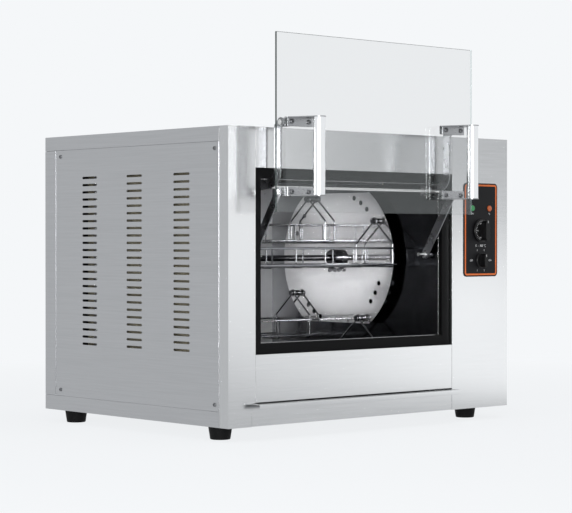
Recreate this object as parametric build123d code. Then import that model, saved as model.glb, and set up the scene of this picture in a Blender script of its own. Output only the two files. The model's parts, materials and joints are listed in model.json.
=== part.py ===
from build123d import *
import os
from math import atan2, cos, degrees, hypot, radians, sin

# Free-standing electric chicken rotisserie, in millimetres.
# Origin: centre of the floor rectangle under the whole object, door open.
# X to the right seen from the front, Y to the back, Z up.

# Cabinet: its width and height follow from the opening and what frames it
POST_WIDTH = 70
OPENING_WIDTH = 562
CONTROL_WIDTH = 178
OPENING_SILL = 141
OPENING_HEIGHT = 367.5
HEADER_HEIGHT = 80.5
REAR_SPACE = 56
SHEET = 1.2
SEAM = 0.5
FRONT_RETURN = 27.4
ROOF_FLANGE = 29.7
BASE_FLANGE = 31
REAR_RETURN = 37.6
SHEET_LAP = 5
REAR_LAP = 10
REAR_LAP_INSET = 3
JOGGLE_WIDTH = 24
JOGGLE_GAP = 3
JOGGLE_LAP = 6
JOGGLE_REACH = 14
PANEL_GAP_FRONT = 2.3
PANEL_GAP_REAR = 4

# How far a cut runs past the face it opens
CUT = 1

# Feet
FOOT_HEIGHT = 26
FOOT_TOP_RADIUS = 24
FOOT_BOTTOM_RADIUS = 20
FOOT_INSET_LEFT = 30
FOOT_INSET_RIGHT = 72
FOOT_INSET_FRONT = 60
FOOT_INSET_REAR = 72
FOOT_RECESS_RADIUS = 6
FOOT_RECESS_DEPTH = 6
FOOT_SCREW_RADIUS = 3
FOOT_SCREW_ABOVE = 10

# Seal of the front opening
CAVITY_MARGIN = 22
SEAL_RECESS = 8
SEAL_DEPTH = 12
SEAL_OVERLAP = 1
FIT_GAP = 0.3

# Cavity
CAVITY_DEPTH = 560
CEILING_OVER_OPENING = 11.5
CAVITY_BOTTOM = 46
CEILING_LIP = 6
RUNNER_STEP = 20
INSULATION = 24
INSULATION_EDGE = 10
INSULATION_FROM_FRONT = 60
INSULATION_FROM_REAR = 80

# Louvre slots of the side panels
SLOT_LENGTH = 51
SLOT_HEIGHT = 5
SLOT_COLUMNS = 3
SLOT_ROWS = 24
SLOT_COLUMN_PITCH = 154.5
SLOT_ROW_PITCH = 15.28
SLOT_FIRST_ROW = 146.7
SLOT_OFF_MIDDLE = 3

# Side panel screws
SCREW_FROM_FRONT = 12
SCREW_FROM_REAR = 15
SCREW_FROM_EDGE = 13
SCREW_RADIUS = 2
SCREW_LENGTH = 9
SCREW_HEAD_RADIUS = 4
SCREW_HEAD_HEIGHT = 2
SCREW_HEAD_CHAMFER = 0.8
CROSS_LENGTH = 4.4
CROSS_WIDTH = 0.8
CROSS_DEPTH = 1
HOLE_CLEARANCE = 0.1

# Drip tray drawer
DRAWER_HEIGHT = 45
DRAWER_LEFT = 60.5
DRAWER_GAP = 1
LIP_REACH = 24
LIP_DROP = 10
PAN_LEDGE = 10
PAN_FLOOR = 4.5
PAN_HEIGHT = 36
PAN_LENGTH = 543
RUNNER_SETBACK = 2

# Door linkage
ARM_LENGTH = 147.6
ARM_OPEN_ANGLE = 58
LOWER_PIVOT_DEPTH = 48
UPPER_PIVOT_BELOW_OPENING = 35.8
PIVOT_SPACING = 137
ARM_WIDTH = 19
ARM_SHEET = 3
LOWER_ARM_INSET = 10
UPPER_ARM_INSET = 16
EAR_INSET = 26
EAR_SHEET = 3
PIN_RADIUS = 4
PIN_HEAD_RADIUS = 5.5
PIN_HEAD = 1.4
PIN_NUT = 3
PIN_LENGTH = 33
PIN_TIP = 6
PIN_BOSS_RADIUS = 6.5
PIN_RIVET = 2
PIN_CLIP_RADIUS = 6
PIN_CLIP = 1.2
RUN_CLEARANCE = 0.05
OPEN_PIVOT_CLEARANCE = 0.25
KNEE_DEPTH = -21
KNEE_RISE = 7.8
KNEE_RADIUS = 27.5
ARM_BOSS = 11
TIE_ROD_RADIUS = 3.5
TIE_ROD_FORWARD = 46.5
TIE_ROD_DROP = 1.7

# Door glass and its fittings
GLASS_GAP = 2.5
GLASS_MARGIN = 17.5
GLASS_SHEET = 5
GLASS_ABOVE_HINGE = 173
HINGE_BEHIND_GLASS = 27
HANDLE_BEFORE_GLASS = 59
HANDLE_INSET = 59.8
HANDLE_RADIUS = 12
HANDLE_WALL = 1.5
PLATE_WIDTH = 66
PLATE_HEIGHT = 18
PLATE_SHEET = 2.5
FLANGE_SHEET = 2
DOOR_SCREW_PITCH = 45
DOOR_SCREW_RADIUS = 2.9
DOOR_SCREW_HEAD = 4.8
DOOR_SCREW_HEAD_HEIGHT = 3
DOOR_SCREW_ROUND = 1.6
DOOR_CROSS_LENGTH = 6
DOOR_CROSS_WIDTH = 1
DOOR_CROSS_DEPTH = 1.2
NUT_RADIUS = 4.9
NUT_LENGTH = 6
NUT_CAP = 1.5
THREAD_GAP = 0.5

# Rotor
ROTOR_BEFORE_WALL = 246
ROTOR_ABOVE_SILL = 185.7
SHAFT_RADIUS = 6.5
SHAFT_PAST_WALL = 34
SHAFT_END_GAP = 2
DISC_RADIUS = 179
DISC_FLAT = 146
DISC_SHEET = 2
DISC_GAP = 20
HUB_RADIUS = 18.5
HUB_LENGTH = 20
HUB_ROUND = 3
HUB_SCREW_FROM_DISC = 14
HUB_SCREW_RADIUS = 3
HUB_SCREW_NECK = 5
THUMB_DROP = 8
THUMB_WIDTH = 18
THUMB_HEIGHT = 6
THUMB_LOBE = 5
THUMB_SHEET = 1.2
PIVOT_CIRCLE = 157
FIRST_PIVOT_ANGLE = 31.5
BASKETS = 4
BASKET_PIN_RADIUS = 4
BASKET_PIN_LENGTH = 21
BASKET_PIN_COLLAR = 6
BASKET_PIN_HEAD = 2.5
BASKET_PIN_SHOULDER = 4
BASKET_PIN_RIVET = 2
COLLAR_RADIUS = 12.5
COLLAR_LENGTH = 9
DISC_HOLE_RADIUS = 5.5
DISC_HOLE_CIRCLE = 145
DISC_HOLE_ANGLES = (17, 26.5, 36)

# Baskets
WIRE_RADIUS = 2
CROSS_WIRE_RADIUS = 1.5
BASKET_WIDTH = 122
BASKET_DROP = 60
BASKET_DEPTH = 35
BASKET_END_GAP = 5
HANGER_FROM_DISC = 14
WELD = 0.4
EYE_THICKER = 0.1
BASKET_CORNER = 8
BASKET_BEND = 5
CROSS_WIRES = 6
FIRST_CROSS_WIRE = 6
FLOOR_WIRES = 3

# Drive and heating
BUSH_SPIGOT = 10
BUSH_FLANGE = 23
BUSH_FLANGE_SHEET = 4
BUSH_BARREL = 14
GEARBOX = 76
GEARBOX_LENGTH = 44
GEARBOX_CORNER = 6
GEARBOX_WALL = 6
MOTOR_RADIUS = 31
MOTOR_LENGTH = 72
MOTOR_STANDOFF = 44
BRACKET_SHEET = 2
BRACKET_WIDTH = 100
BRACKET_HEIGHT = 84
BRACKET_FOOT = 16
BRACKET_HOLE = 11.5
BRACKET_CLEARANCE = 4
HEATER_RADIUS = 4
HEATER_BEND = 21
HEATER_FROM_SIDE = 28
HEATER_BEFORE_WALL = 46
HEATER_UNDER_CEILING = 14
HEATER_OVER_FLOOR = 26
HEATER_TERMINAL = 12
HEATER_COLLAR = 7
HEATER_COLLAR_LENGTH = 4
CLIP_FROM_BEND = 40
CLIP_WIDTH = 12
CLIP_HALF_HEIGHT = 7
CLIP_SHEET = 1
CLIP_SEAT = 6

# Control panel
PANEL_MARGIN = 35
PANEL_HEIGHT = 204
PANEL_SHEET = 1.5
PANEL_CORNER = 9
PANEL_CENTRE_HEIGHT = 388.8
PANEL_OFF_CENTRE = 1
LAMP_SPACING = 55
LAMP_ABOVE_KNOB = 49
LAMP_RADIUS = 6.5
LAMP_BODY_RADIUS = 5.4
LAMP_DOME = 3
LAMP_ROUND = 2
LAMP_DEPTH = 24
KNOB_BELOW_CENTRE = 1.8
KNOB_RADIUS = 25
SELECTOR_BELOW_KNOB = 65
SELECTOR_RADIUS = 16
SPINDLE_RADIUS = 3
SPINDLE_DEPTH = 20
SPINDLE_HOLE_GAP = 1
KNOB_BEVEL = 0.4
THERMOSTAT_SIZE = 42
THERMOSTAT_DEPTH = 32
SWITCH_SIZE = 36
SWITCH_DEPTH = 46
CAPILLARY_RADIUS = 1
CAPILLARY_BEND = 5
CAPILLARY_HOLE = 2.5
CAPILLARY_ABOVE_KNOB = 12
CAPILLARY_FROM_FRONT = 190
BULB_RADIUS = 3
BULB_LENGTH = 80
BULB_FROM_WALL = 6
BULB_BEHIND_AXIS = 60
BULB_BELOW_CEILING = 28.3

# Cable gland and terminal block
GLAND_BORE = 5
GLAND_REACH = 18
GLAND_FROM_RIGHT = 70
GLAND_HEIGHT = 75
GLAND_HEX = 13
GLAND_HEX_LENGTH = 8
GLAND_DOME = 11
GLAND_CHAMFER = 3
GLAND_STEM = 8
GLAND_STEM_LENGTH = 14
GLAND_NUT = 12
GLAND_NUT_LENGTH = 6
TERMINAL_LENGTH = 64
TERMINAL_WIDTH = 24
TERMINAL_HEIGHT = 20
TERMINAL_POLES = 5
TERMINAL_PITCH = 12
TERMINAL_WELL_RADIUS = 3
TERMINAL_WELL_FLOOR = 12
TERMINAL_BEFORE_FOOT = 34

# Places worked out from the sizes above
CABINET_WIDTH = POST_WIDTH + OPENING_WIDTH + CONTROL_WIDTH
CABINET_HEIGHT = OPENING_SILL + OPENING_HEIGHT + HEADER_HEIGHT
CABINET_DEPTH = CAVITY_DEPTH + REAR_SPACE
ARM_RISE = ARM_LENGTH * sin(radians(ARM_OPEN_ANGLE))
ARM_RUN = ARM_LENGTH * cos(radians(ARM_OPEN_ANGLE))
DOOR_REACH = ARM_RUN - LOWER_PIVOT_DEPTH + HINGE_BEHIND_GLASS + HANDLE_BEFORE_GLASS
FRONT_OVERHANG = DOOR_REACH + HANDLE_RADIUS + SHEET
FRONT = (FRONT_OVERHANG - CABINET_DEPTH - GLAND_REACH) / 2
BACK = FRONT + CABINET_DEPTH
LEFT = -CABINET_WIDTH / 2
RIGHT = CABINET_WIDTH / 2
BASE = FOOT_HEIGHT
TOP = BASE + CABINET_HEIGHT
OPEN_LEFT = LEFT + POST_WIDTH
OPEN_RIGHT = OPEN_LEFT + OPENING_WIDTH
OPEN_BOTTOM = BASE + OPENING_SILL
OPEN_TOP = OPEN_BOTTOM + OPENING_HEIGHT
MIDDLE = (OPEN_LEFT + OPEN_RIGHT) / 2
CAVITY_LEFT = OPEN_LEFT + CAVITY_MARGIN
CAVITY_RIGHT = OPEN_RIGHT - CAVITY_MARGIN
CAVITY_FRONT = FRONT + SEAL_RECESS + SEAL_DEPTH + SHEET
CAVITY_BACK = FRONT + CAVITY_DEPTH
CAVITY_TOP = OPEN_TOP + CEILING_OVER_OPENING
CAVITY_FLOOR = BASE + CAVITY_BOTTOM
PIVOT_Y = FRONT + LOWER_PIVOT_DEPTH
UPPER_PIVOT_Z = OPEN_TOP - UPPER_PIVOT_BELOW_OPENING
LOWER_PIVOT_Z = UPPER_PIVOT_Z - PIVOT_SPACING
HINGE_Y = PIVOT_Y - ARM_RUN
LOWER_HINGE_Z = LOWER_PIVOT_Z + ARM_RISE
UPPER_HINGE_Z = UPPER_PIVOT_Z + ARM_RISE
GLASS_Y = HINGE_Y - HINGE_BEHIND_GLASS
GLASS_FRONT = GLASS_Y - GLASS_SHEET / 2
GLASS_REAR = GLASS_Y + GLASS_SHEET / 2
GLASS_WIDTH = OPENING_WIDTH - 2 * GLASS_GAP
GLASS_HEIGHT = OPENING_HEIGHT - GLASS_MARGIN
GLASS_TOP = UPPER_HINGE_Z + GLASS_ABOVE_HINGE
GLASS_BOTTOM = GLASS_TOP - GLASS_HEIGHT
HANDLE_Y = GLASS_Y - HANDLE_BEFORE_GLASS
AXIS_Y = CAVITY_BACK - ROTOR_BEFORE_WALL
AXIS_Z = OPEN_BOTTOM + ROTOR_ABOVE_SILL
DISC_FACE = CAVITY_RIGHT - DISC_GAP - DISC_SHEET
PANEL_X = RIGHT - CONTROL_WIDTH / 2 + PANEL_OFF_CENTRE
PANEL_WIDTH = CONTROL_WIDTH - 2 * PANEL_MARGIN
KNOB_HEIGHT = PANEL_CENTRE_HEIGHT - KNOB_BELOW_CENTRE
LAMP_HEIGHT = KNOB_HEIGHT + LAMP_ABOVE_KNOB
SELECTOR_HEIGHT = KNOB_HEIGHT - SELECTOR_BELOW_KNOB
TRAY_LEFT = LEFT + DRAWER_LEFT
TRAY_RIGHT = OPEN_RIGHT - SEAM
PLATE_FACE = FRONT - PANEL_SHEET
SPINDLE_HOLE = SPINDLE_RADIUS + SPINDLE_HOLE_GAP
SPINDLE_BORE = SPINDLE_RADIUS + RUN_CLEARANCE
LAMP_HOLE = LAMP_BODY_RADIUS + HOLE_CLEARANCE
LAMP_X = (PANEL_X - LAMP_SPACING / 2, PANEL_X + LAMP_SPACING / 2)
BULB_X = CAVITY_RIGHT - BULB_FROM_WALL
BULB_Y = AXIS_Y + BULB_BEHIND_AXIS
BULB_Z = CAVITY_TOP - BULB_BELOW_CEILING
CAPILLARY_Y = FRONT + CAPILLARY_FROM_FRONT
BUSH_X = CAVITY_RIGHT + SHEET
SHAFT_BORE = SHAFT_RADIUS + RUN_CLEARANCE
MOTOR_FACE = BUSH_X + MOTOR_STANDOFF + BRACKET_SHEET
GLAND_X = RIGHT - GLAND_FROM_RIGHT
GLAND_Z = BASE + GLAND_HEIGHT


def block(x0, x1, y0, y1, z0, z1):
    """A rectangular piece between two corners."""
    centre = Pos((x0 + x1) / 2, (y0 + y1) / 2, (z0 + z1) / 2)
    return centre * Box(x1 - x0, y1 - y0, z1 - z0)


def rod_x(radius, x0, x1, y, z):
    """A round bar along X."""
    return Pos((x0 + x1) / 2, y, z) * Rot(0, 90, 0) * Cylinder(radius, abs(x1 - x0))


def rod_y(radius, y0, y1, x, z):
    """A round bar along Y."""
    return Pos(x, (y0 + y1) / 2, z) * Rot(90, 0, 0) * Cylinder(radius, abs(y1 - y0))


def rod_z(radius, z0, z1, x, y):
    """A round bar along Z."""
    return Pos(x, y, (z0 + z1) / 2) * Cylinder(radius, abs(z1 - z0))


def wire(points, radius, bend=0.0):
    """A round wire through the points, with bends of the given radius."""
    path = FilletPolyline(*points, radius=bend) if bend else Polyline(*points)
    start = Plane(origin=path @ 0, z_dir=path % 0)
    return sweep(start * Circle(radius), path=path, transition=Transition.RIGHT)


def across(shape, centre=MIDDLE):
    """The same piece on the other side of the plane at this X."""
    return mirror(shape, about=Plane.YZ.offset(centre))


def both_sides(shape, centre=MIDDLE):
    """A piece and its opposite-hand twin, as two solids."""
    return [shape, across(shape, centre)]


def bar(start, end, width, x0, x1):
    """A flat bar with round ends between two points of a YZ plane."""
    (y0, z0), (y1, z1) = start, end
    middle = Pos((y0 + y1) / 2, (z0 + z1) / 2) * Rot(0, 0, degrees(atan2(z1 - z0, y1 - y0)))
    return slab(middle * SlotCenterToCenter(hypot(y1 - y0, z1 - z0), width), x0, x1)


def slab(face, x0, x1):
    """A face drawn in Y and Z, thickened from x0 to x1."""
    return extrude(Plane.YZ.offset(min(x0, x1)) * face, amount=abs(x1 - x0))


def save(node, *solids):
    """One STEP file for one node."""
    parts = [solid for item in solids for solid in item.solids()]
    shape = parts[0] if len(parts) == 1 else Compound(children=parts)
    export_step(shape, f"parts/{node}.step")


os.makedirs("parts", exist_ok=True)

# Roof: a sheet with down-turned sides and back, lapped under the front frame's top edge.
roof = block(LEFT, RIGHT, FRONT + FRONT_RETURN + SEAM, BACK, TOP - ROOF_FLANGE, TOP)
roof -= block(LEFT + SHEET, RIGHT - SHEET, FRONT, BACK - SHEET, TOP - 2 * ROOF_FLANGE, TOP - SHEET)
roof += block(LEFT + 2 * SHEET, RIGHT - 2 * SHEET, FRONT + FRONT_RETURN - SHEET_LAP,
              FRONT + FRONT_RETURN + SHEET_LAP, TOP - 2 * SHEET, TOP - SHEET)
JOGGLE_FRONT = FRONT + FRONT_RETURN + JOGGLE_WIDTH
JOGGLE_REAR = BACK - REAR_RETURN - JOGGLE_WIDTH - PANEL_GAP_REAR
ROOF_JOGGLE = block(LEFT + SHEET, LEFT + 2 * SHEET, JOGGLE_FRONT + JOGGLE_GAP, JOGGLE_REAR - JOGGLE_GAP,
                    TOP - ROOF_FLANGE - JOGGLE_REACH, TOP - ROOF_FLANGE + JOGGLE_LAP)
for joggle in both_sides(ROOF_JOGGLE, 0):
    roof += joggle
save("roof_panel", roof)


# Front frame: four folded sheets whose inner lips carry the seal and the cavity.
LIP_FRONT = CAVITY_FRONT - SHEET


def front_column(x_out, x_in, lip_to):
    """A full-height front sheet with its outer, top and opening returns."""
    low, high = min(x_out, x_in), max(x_out, x_in)
    outer = x_out + SHEET if x_out < x_in else x_out - SHEET
    inner = x_in - SHEET if x_out < x_in else x_in + SHEET
    twice = x_out + 2 * SHEET if x_out < x_in else x_out - 2 * SHEET
    column = block(low, high, FRONT, FRONT + SHEET, BASE, TOP)
    column += block(min(x_out, outer), max(x_out, outer), FRONT, FRONT + FRONT_RETURN, BASE, TOP)
    column += block(low, high, FRONT, FRONT + FRONT_RETURN, TOP - SHEET, TOP)
    column += block(min(inner, x_in), max(inner, x_in), FRONT, CAVITY_FRONT, BASE + 2 * SHEET, TOP)
    column += block(min(inner, lip_to), max(inner, lip_to), LIP_FRONT, CAVITY_FRONT, OPEN_BOTTOM, OPEN_TOP)
    column += block(min(outer, twice), max(outer, twice), FRONT + FRONT_RETURN - JOGGLE_LAP, JOGGLE_FRONT,
                    BASE + BASE_FLANGE + SEAM, TOP - ROOF_FLANGE - SEAM)
    return column


post = front_column(LEFT, OPEN_LEFT, CAVITY_LEFT)
post -= block(TRAY_LEFT - SEAM, OPEN_LEFT + CUT, FRONT - CUT, CAVITY_FRONT + CUT, BASE - CUT,
              BASE + DRAWER_HEIGHT + DRAWER_GAP)

fascia = front_column(RIGHT, OPEN_RIGHT, CAVITY_RIGHT)
for height in (KNOB_HEIGHT, SELECTOR_HEIGHT):
    fascia -= rod_y(SPINDLE_HOLE, FRONT - CUT, FRONT + SHEET + CUT, PANEL_X, BASE + height)
for x in LAMP_X:
    fascia -= rod_y(LAMP_HOLE, FRONT - CUT, FRONT + SHEET + CUT, x, BASE + LAMP_HEIGHT)

INNER_LEFT = OPEN_LEFT + SEAM
INNER_RIGHT = OPEN_RIGHT - SEAM
header = block(INNER_LEFT, INNER_RIGHT, FRONT, FRONT + SHEET, OPEN_TOP, TOP)
header += block(INNER_LEFT, INNER_RIGHT, FRONT, FRONT + FRONT_RETURN, TOP - SHEET, TOP)
header += block(INNER_LEFT, INNER_RIGHT, FRONT, CAVITY_FRONT, OPEN_TOP, OPEN_TOP + SHEET)
header += block(CAVITY_LEFT + SEAM, CAVITY_RIGHT - SEAM, LIP_FRONT, CAVITY_FRONT,
                OPEN_TOP - CAVITY_MARGIN, OPEN_TOP + SHEET)
save("front_header", header)

PANEL_FOOT = BASE + DRAWER_HEIGHT + 2 * DRAWER_GAP
lower_panel = block(INNER_LEFT, INNER_RIGHT, FRONT, CAVITY_FRONT, PANEL_FOOT, OPEN_BOTTOM)
lower_panel -= block(INNER_LEFT - CUT, INNER_RIGHT + CUT, FRONT + SHEET, LIP_FRONT, PANEL_FOOT + SHEET,
                     OPEN_BOTTOM - SHEET)
lower_panel += block(CAVITY_LEFT + SEAM, CAVITY_RIGHT - SEAM, LIP_FRONT, CAVITY_FRONT,
                     OPEN_BOTTOM - SHEET, OPEN_BOTTOM + CAVITY_MARGIN)
save("front_lower_panel", lower_panel)

# Back panel: a sheet with corner returns, lapped behind the roof and the base.
back = block(LEFT, RIGHT, BACK - REAR_RETURN, BACK, BASE + BASE_FLANGE + SEAM, TOP - ROOF_FLANGE - SEAM)
back -= block(LEFT + SHEET, RIGHT - SHEET, BACK - REAR_RETURN - CUT, BACK - SHEET, BASE, TOP)
for z in (TOP - ROOF_FLANGE, BASE + BASE_FLANGE):
    back += block(LEFT + REAR_LAP_INSET, RIGHT - REAR_LAP_INSET, BACK - 2 * SHEET, BACK - SHEET,
                  z - REAR_LAP, z + REAR_LAP)
back -= rod_y(GLAND_STEM + 2 * HOLE_CLEARANCE, BACK - 2 * SHEET - CUT, BACK + CUT, GLAND_X, GLAND_Z)

# Side panels and the screws that hold them to the joggled edges.
PANEL_FRONT = FRONT + FRONT_RETURN + PANEL_GAP_FRONT
PANEL_REAR = BACK - REAR_RETURN - PANEL_GAP_REAR
PANEL_BOTTOM = BASE + BASE_FLANGE + SEAM
PANEL_TOP = TOP - ROOF_FLANGE - SEAM
side_panel = block(LEFT, LEFT + SHEET, PANEL_FRONT, PANEL_REAR, PANEL_BOTTOM, PANEL_TOP)
slot_middle = (PANEL_FRONT + PANEL_REAR) / 2 - SLOT_OFF_MIDDLE
slots = Sketch() + [
    Pos(slot_middle + (column - (SLOT_COLUMNS - 1) / 2) * SLOT_COLUMN_PITCH,
        BASE + SLOT_FIRST_ROW + row * SLOT_ROW_PITCH) * SlotOverall(SLOT_LENGTH, SLOT_HEIGHT)
    for column in range(SLOT_COLUMNS)
    for row in range(SLOT_ROWS)
]
side_panel -= slab(slots, LEFT - CUT, LEFT + SHEET + CUT)
SCREW_Y = (PANEL_FRONT + SCREW_FROM_FRONT, PANEL_REAR - SCREW_FROM_REAR)
SCREW_Z = (PANEL_BOTTOM + SCREW_FROM_EDGE, PANEL_TOP - SCREW_FROM_EDGE)
rear_joggle = block(LEFT + SHEET, LEFT + 2 * SHEET, JOGGLE_REAR, BACK - REAR_RETURN + JOGGLE_LAP,
                    BASE + BASE_FLANGE + SEAM, TOP - ROOF_FLANGE - SEAM)
screws = []
for y in SCREW_Y:
    for z in SCREW_Z:
        hole = rod_x(SCREW_RADIUS + HOLE_CLEARANCE, LEFT - CUT, LEFT + 3 * SHEET, y, z)
        side_panel -= hole
        rear_joggle -= hole
        post -= hole
        fascia -= across(hole, 0)
        head = rod_x(SCREW_HEAD_RADIUS, LEFT - SCREW_HEAD_HEIGHT, LEFT, y, z)
        head = chamfer(head.edges().sort_by(Axis.X)[:1], SCREW_HEAD_CHAMFER)
        slot = Pos(LEFT - SCREW_HEAD_HEIGHT, y, z) * Box(2 * CROSS_DEPTH, CROSS_LENGTH, CROSS_WIDTH)
        head -= [slot, Pos(0, y, z) * Rot(90, 0, 0) * Pos(0, -y, -z) * slot]
        screws.append(head + rod_x(SCREW_RADIUS, LEFT, LEFT + SCREW_LENGTH, y, z))
for joggle in both_sides(rear_joggle, 0):
    back += joggle
save("front_post_left", post)
save("control_fascia", fascia)
save("back_panel", back)
save("side_panel_left", side_panel)
save("side_panel_right", across(side_panel, 0))
save("side_panel_screws", *screws, *[across(screw, 0) for screw in screws])

# Base tray: open-topped pan with an upturned edge on three sides and joggled side edges.
base = block(LEFT, RIGHT, FRONT + FRONT_RETURN + SEAM, BACK, BASE, BASE + BASE_FLANGE)
base -= block(LEFT + SHEET, RIGHT - SHEET, FRONT, BACK - SHEET, BASE + SHEET, TOP)
base += block(LEFT + SHEET, RIGHT - SHEET, CAVITY_FRONT + DRAWER_GAP, FRONT + FRONT_RETURN + SHEET_LAP,
              BASE, BASE + SHEET)
BASE_JOGGLE = block(LEFT + SHEET, LEFT + 2 * SHEET, JOGGLE_FRONT + JOGGLE_GAP, JOGGLE_REAR - JOGGLE_GAP,
                    BASE + BASE_FLANGE - JOGGLE_LAP, BASE + BASE_FLANGE + JOGGLE_REACH)
for joggle in both_sides(BASE_JOGGLE, 0):
    base += joggle
FEET = [(x, y)
        for x in (LEFT + FOOT_INSET_LEFT, RIGHT - FOOT_INSET_RIGHT)
        for y in (FRONT + FOOT_INSET_FRONT, BACK - FOOT_INSET_REAR)]
feet = []
for x, y in FEET:
    base -= rod_z(FOOT_SCREW_RADIUS + 2 * HOLE_CLEARANCE, BASE - CUT, BASE + SHEET + CUT, x, y)
    foot = loft([
        Pos(x, y, 0) * Circle(FOOT_BOTTOM_RADIUS),
        Pos(x, y, FOOT_HEIGHT) * Circle(FOOT_TOP_RADIUS),
    ])
    foot -= rod_z(FOOT_RECESS_RADIUS, -CUT, FOOT_RECESS_DEPTH, x, y)
    feet.append(foot + rod_z(FOOT_SCREW_RADIUS, BASE, BASE + FOOT_SCREW_ABOVE, x, y))
save("base_tray", base)
save("rubber_feet", *feet)

# Oven cavity: two side walls with feet turned out, a back wall and a ceiling.
WALL_OUT = CAVITY_RIGHT + SHEET + CUT
RUNNER_X = CAVITY_RIGHT + RUNNER_STEP
wall = block(CAVITY_RIGHT, CAVITY_RIGHT + SHEET, CAVITY_FRONT, CAVITY_BACK, CAVITY_FLOOR, CAVITY_TOP)
wall += block(CAVITY_RIGHT, RUNNER_X + SHEET, CAVITY_FRONT, CAVITY_BACK, CAVITY_FLOOR, CAVITY_FLOOR + SHEET)
wall -= rod_x(BUSH_SPIGOT + HOLE_CLEARANCE, CAVITY_RIGHT - CUT, WALL_OUT, AXIS_Y, AXIS_Z)
for z in (LOWER_PIVOT_Z, UPPER_PIVOT_Z):
    wall -= rod_x(PIN_RADIUS + HOLE_CLEARANCE, CAVITY_RIGHT - CUT, WALL_OUT, PIVOT_Y, z)
wall_left = across(wall)
wall -= rod_x(CAPILLARY_HOLE, CAVITY_RIGHT - CUT, WALL_OUT, CAPILLARY_Y, BULB_Z)

# Tubular heaters: hairpins along X whose ends pass through the right wall.
HEATER_LEFT = CAVITY_LEFT + HEATER_FROM_SIDE
HEATER_OUT = CAVITY_RIGHT + INSULATION + HEATER_TERMINAL
HEATER_Y = CAVITY_BACK - HEATER_BEFORE_WALL
HEATER_Z = {
    "heater_upper": CAVITY_TOP - HEATER_UNDER_CEILING,
    "heater_lower": CAVITY_FLOOR + HEATER_OVER_FLOOR,
}
HEATER_ENDS = (HEATER_Y - HEATER_BEND, HEATER_Y + HEATER_BEND)
CLIP_X = (HEATER_LEFT + CLIP_FROM_BEND, HEATER_LEFT + CLIP_FROM_BEND + CLIP_WIDTH)
COLLAR_END = BUSH_X + HEATER_COLLAR_LENGTH
clips = []
for node, z in HEATER_Z.items():
    near, far = HEATER_ENDS
    route = [(HEATER_OUT, near, z), (HEATER_LEFT, near, z), (HEATER_LEFT, far, z), (HEATER_OUT, far, z)]
    hairpin = wire(route, HEATER_RADIUS, HEATER_BEND - 1)
    clip = block(*CLIP_X, near - CLIP_SHEET, CAVITY_BACK, z - CLIP_HALF_HEIGHT, z + CLIP_HALF_HEIGHT)
    clip -= block(*CLIP_X, near - 2 * CLIP_SHEET, CAVITY_BACK - SHEET,
                  z - CLIP_HALF_HEIGHT + CLIP_SHEET, z + CLIP_HALF_HEIGHT - CLIP_SHEET)
    for end in HEATER_ENDS:
        hairpin += rod_x(HEATER_COLLAR, BUSH_X, COLLAR_END, end, z)
        wall -= rod_x(HEATER_RADIUS + HOLE_CLEARANCE, CAVITY_RIGHT - CUT, WALL_OUT, end, z)
        clip += block(*CLIP_X, end - CLIP_SEAT, end + CLIP_SEAT, z - CLIP_HALF_HEIGHT,
                      z - HEATER_RADIUS - RUN_CLEARANCE)
    save(node, hairpin)
    clips.append(clip)
save("heater_clips", *clips)
save("cavity_wall_right", wall)
save("cavity_wall_left", wall_left)
save("cavity_back_wall", block(CAVITY_LEFT - SHEET, CAVITY_RIGHT + SHEET, CAVITY_BACK, CAVITY_BACK + SHEET,
                               CAVITY_FLOOR, CAVITY_TOP + SHEET))
ceiling = block(CAVITY_LEFT - SHEET, CAVITY_RIGHT + SHEET, CAVITY_FRONT, CAVITY_BACK,
                CAVITY_TOP, CAVITY_TOP + SHEET)
ceiling += block(CAVITY_LEFT + SEAM, CAVITY_RIGHT - SEAM, CAVITY_FRONT, CAVITY_FRONT + SHEET,
                 OPEN_TOP - CEILING_LIP, CAVITY_TOP + SHEET)
save("cavity_ceiling", ceiling)

# Seal: one black frame in the recess, against the lips of the front frame.
seal = block(OPEN_LEFT + FIT_GAP, OPEN_RIGHT - FIT_GAP, FRONT + SEAL_RECESS, LIP_FRONT,
             OPEN_BOTTOM + FIT_GAP, OPEN_TOP - FIT_GAP)
seal -= block(CAVITY_LEFT, CAVITY_RIGHT, FRONT, LIP_FRONT + CUT,
              OPEN_BOTTOM + CAVITY_MARGIN - SEAL_OVERLAP, OPEN_TOP - CAVITY_MARGIN + SEAL_OVERLAP)
save("door_seal", seal)

# Insulation blankets on the outside of the cavity.
over = block(CAVITY_LEFT, CAVITY_RIGHT, CAVITY_FRONT + INSULATION_EDGE, CAVITY_BACK, CAVITY_TOP + SHEET,
             CAVITY_TOP + SHEET + INSULATION)
behind = block(CAVITY_LEFT, CAVITY_RIGHT, CAVITY_BACK + SHEET, CAVITY_BACK + SHEET + INSULATION,
               CAVITY_FLOOR + INSULATION_EDGE, CAVITY_TOP)
beside = block(BUSH_X, BUSH_X + INSULATION, CAVITY_FRONT + INSULATION_FROM_FRONT,
               CAVITY_BACK - INSULATION_FROM_REAR, CAVITY_FLOOR + INSULATION_EDGE,
               CAVITY_TOP - INSULATION_EDGE)
WINDOW_Y = BRACKET_WIDTH / 2 + BRACKET_CLEARANCE
WINDOW_Z = BRACKET_HEIGHT / 2 + BRACKET_FOOT + BRACKET_CLEARANCE
beside -= block(CAVITY_RIGHT, BUSH_X + INSULATION + CUT, AXIS_Y - WINDOW_Y, AXIS_Y + WINDOW_Y,
                AXIS_Z - WINDOW_Z, AXIS_Z + WINDOW_Z)
beside_left = across(beside)
beside -= rod_x(CAPILLARY_HOLE, CAVITY_RIGHT, BUSH_X + INSULATION + CUT, CAPILLARY_Y, BULB_Z)
save("insulation_blankets", over, behind, beside, beside_left)

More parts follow.
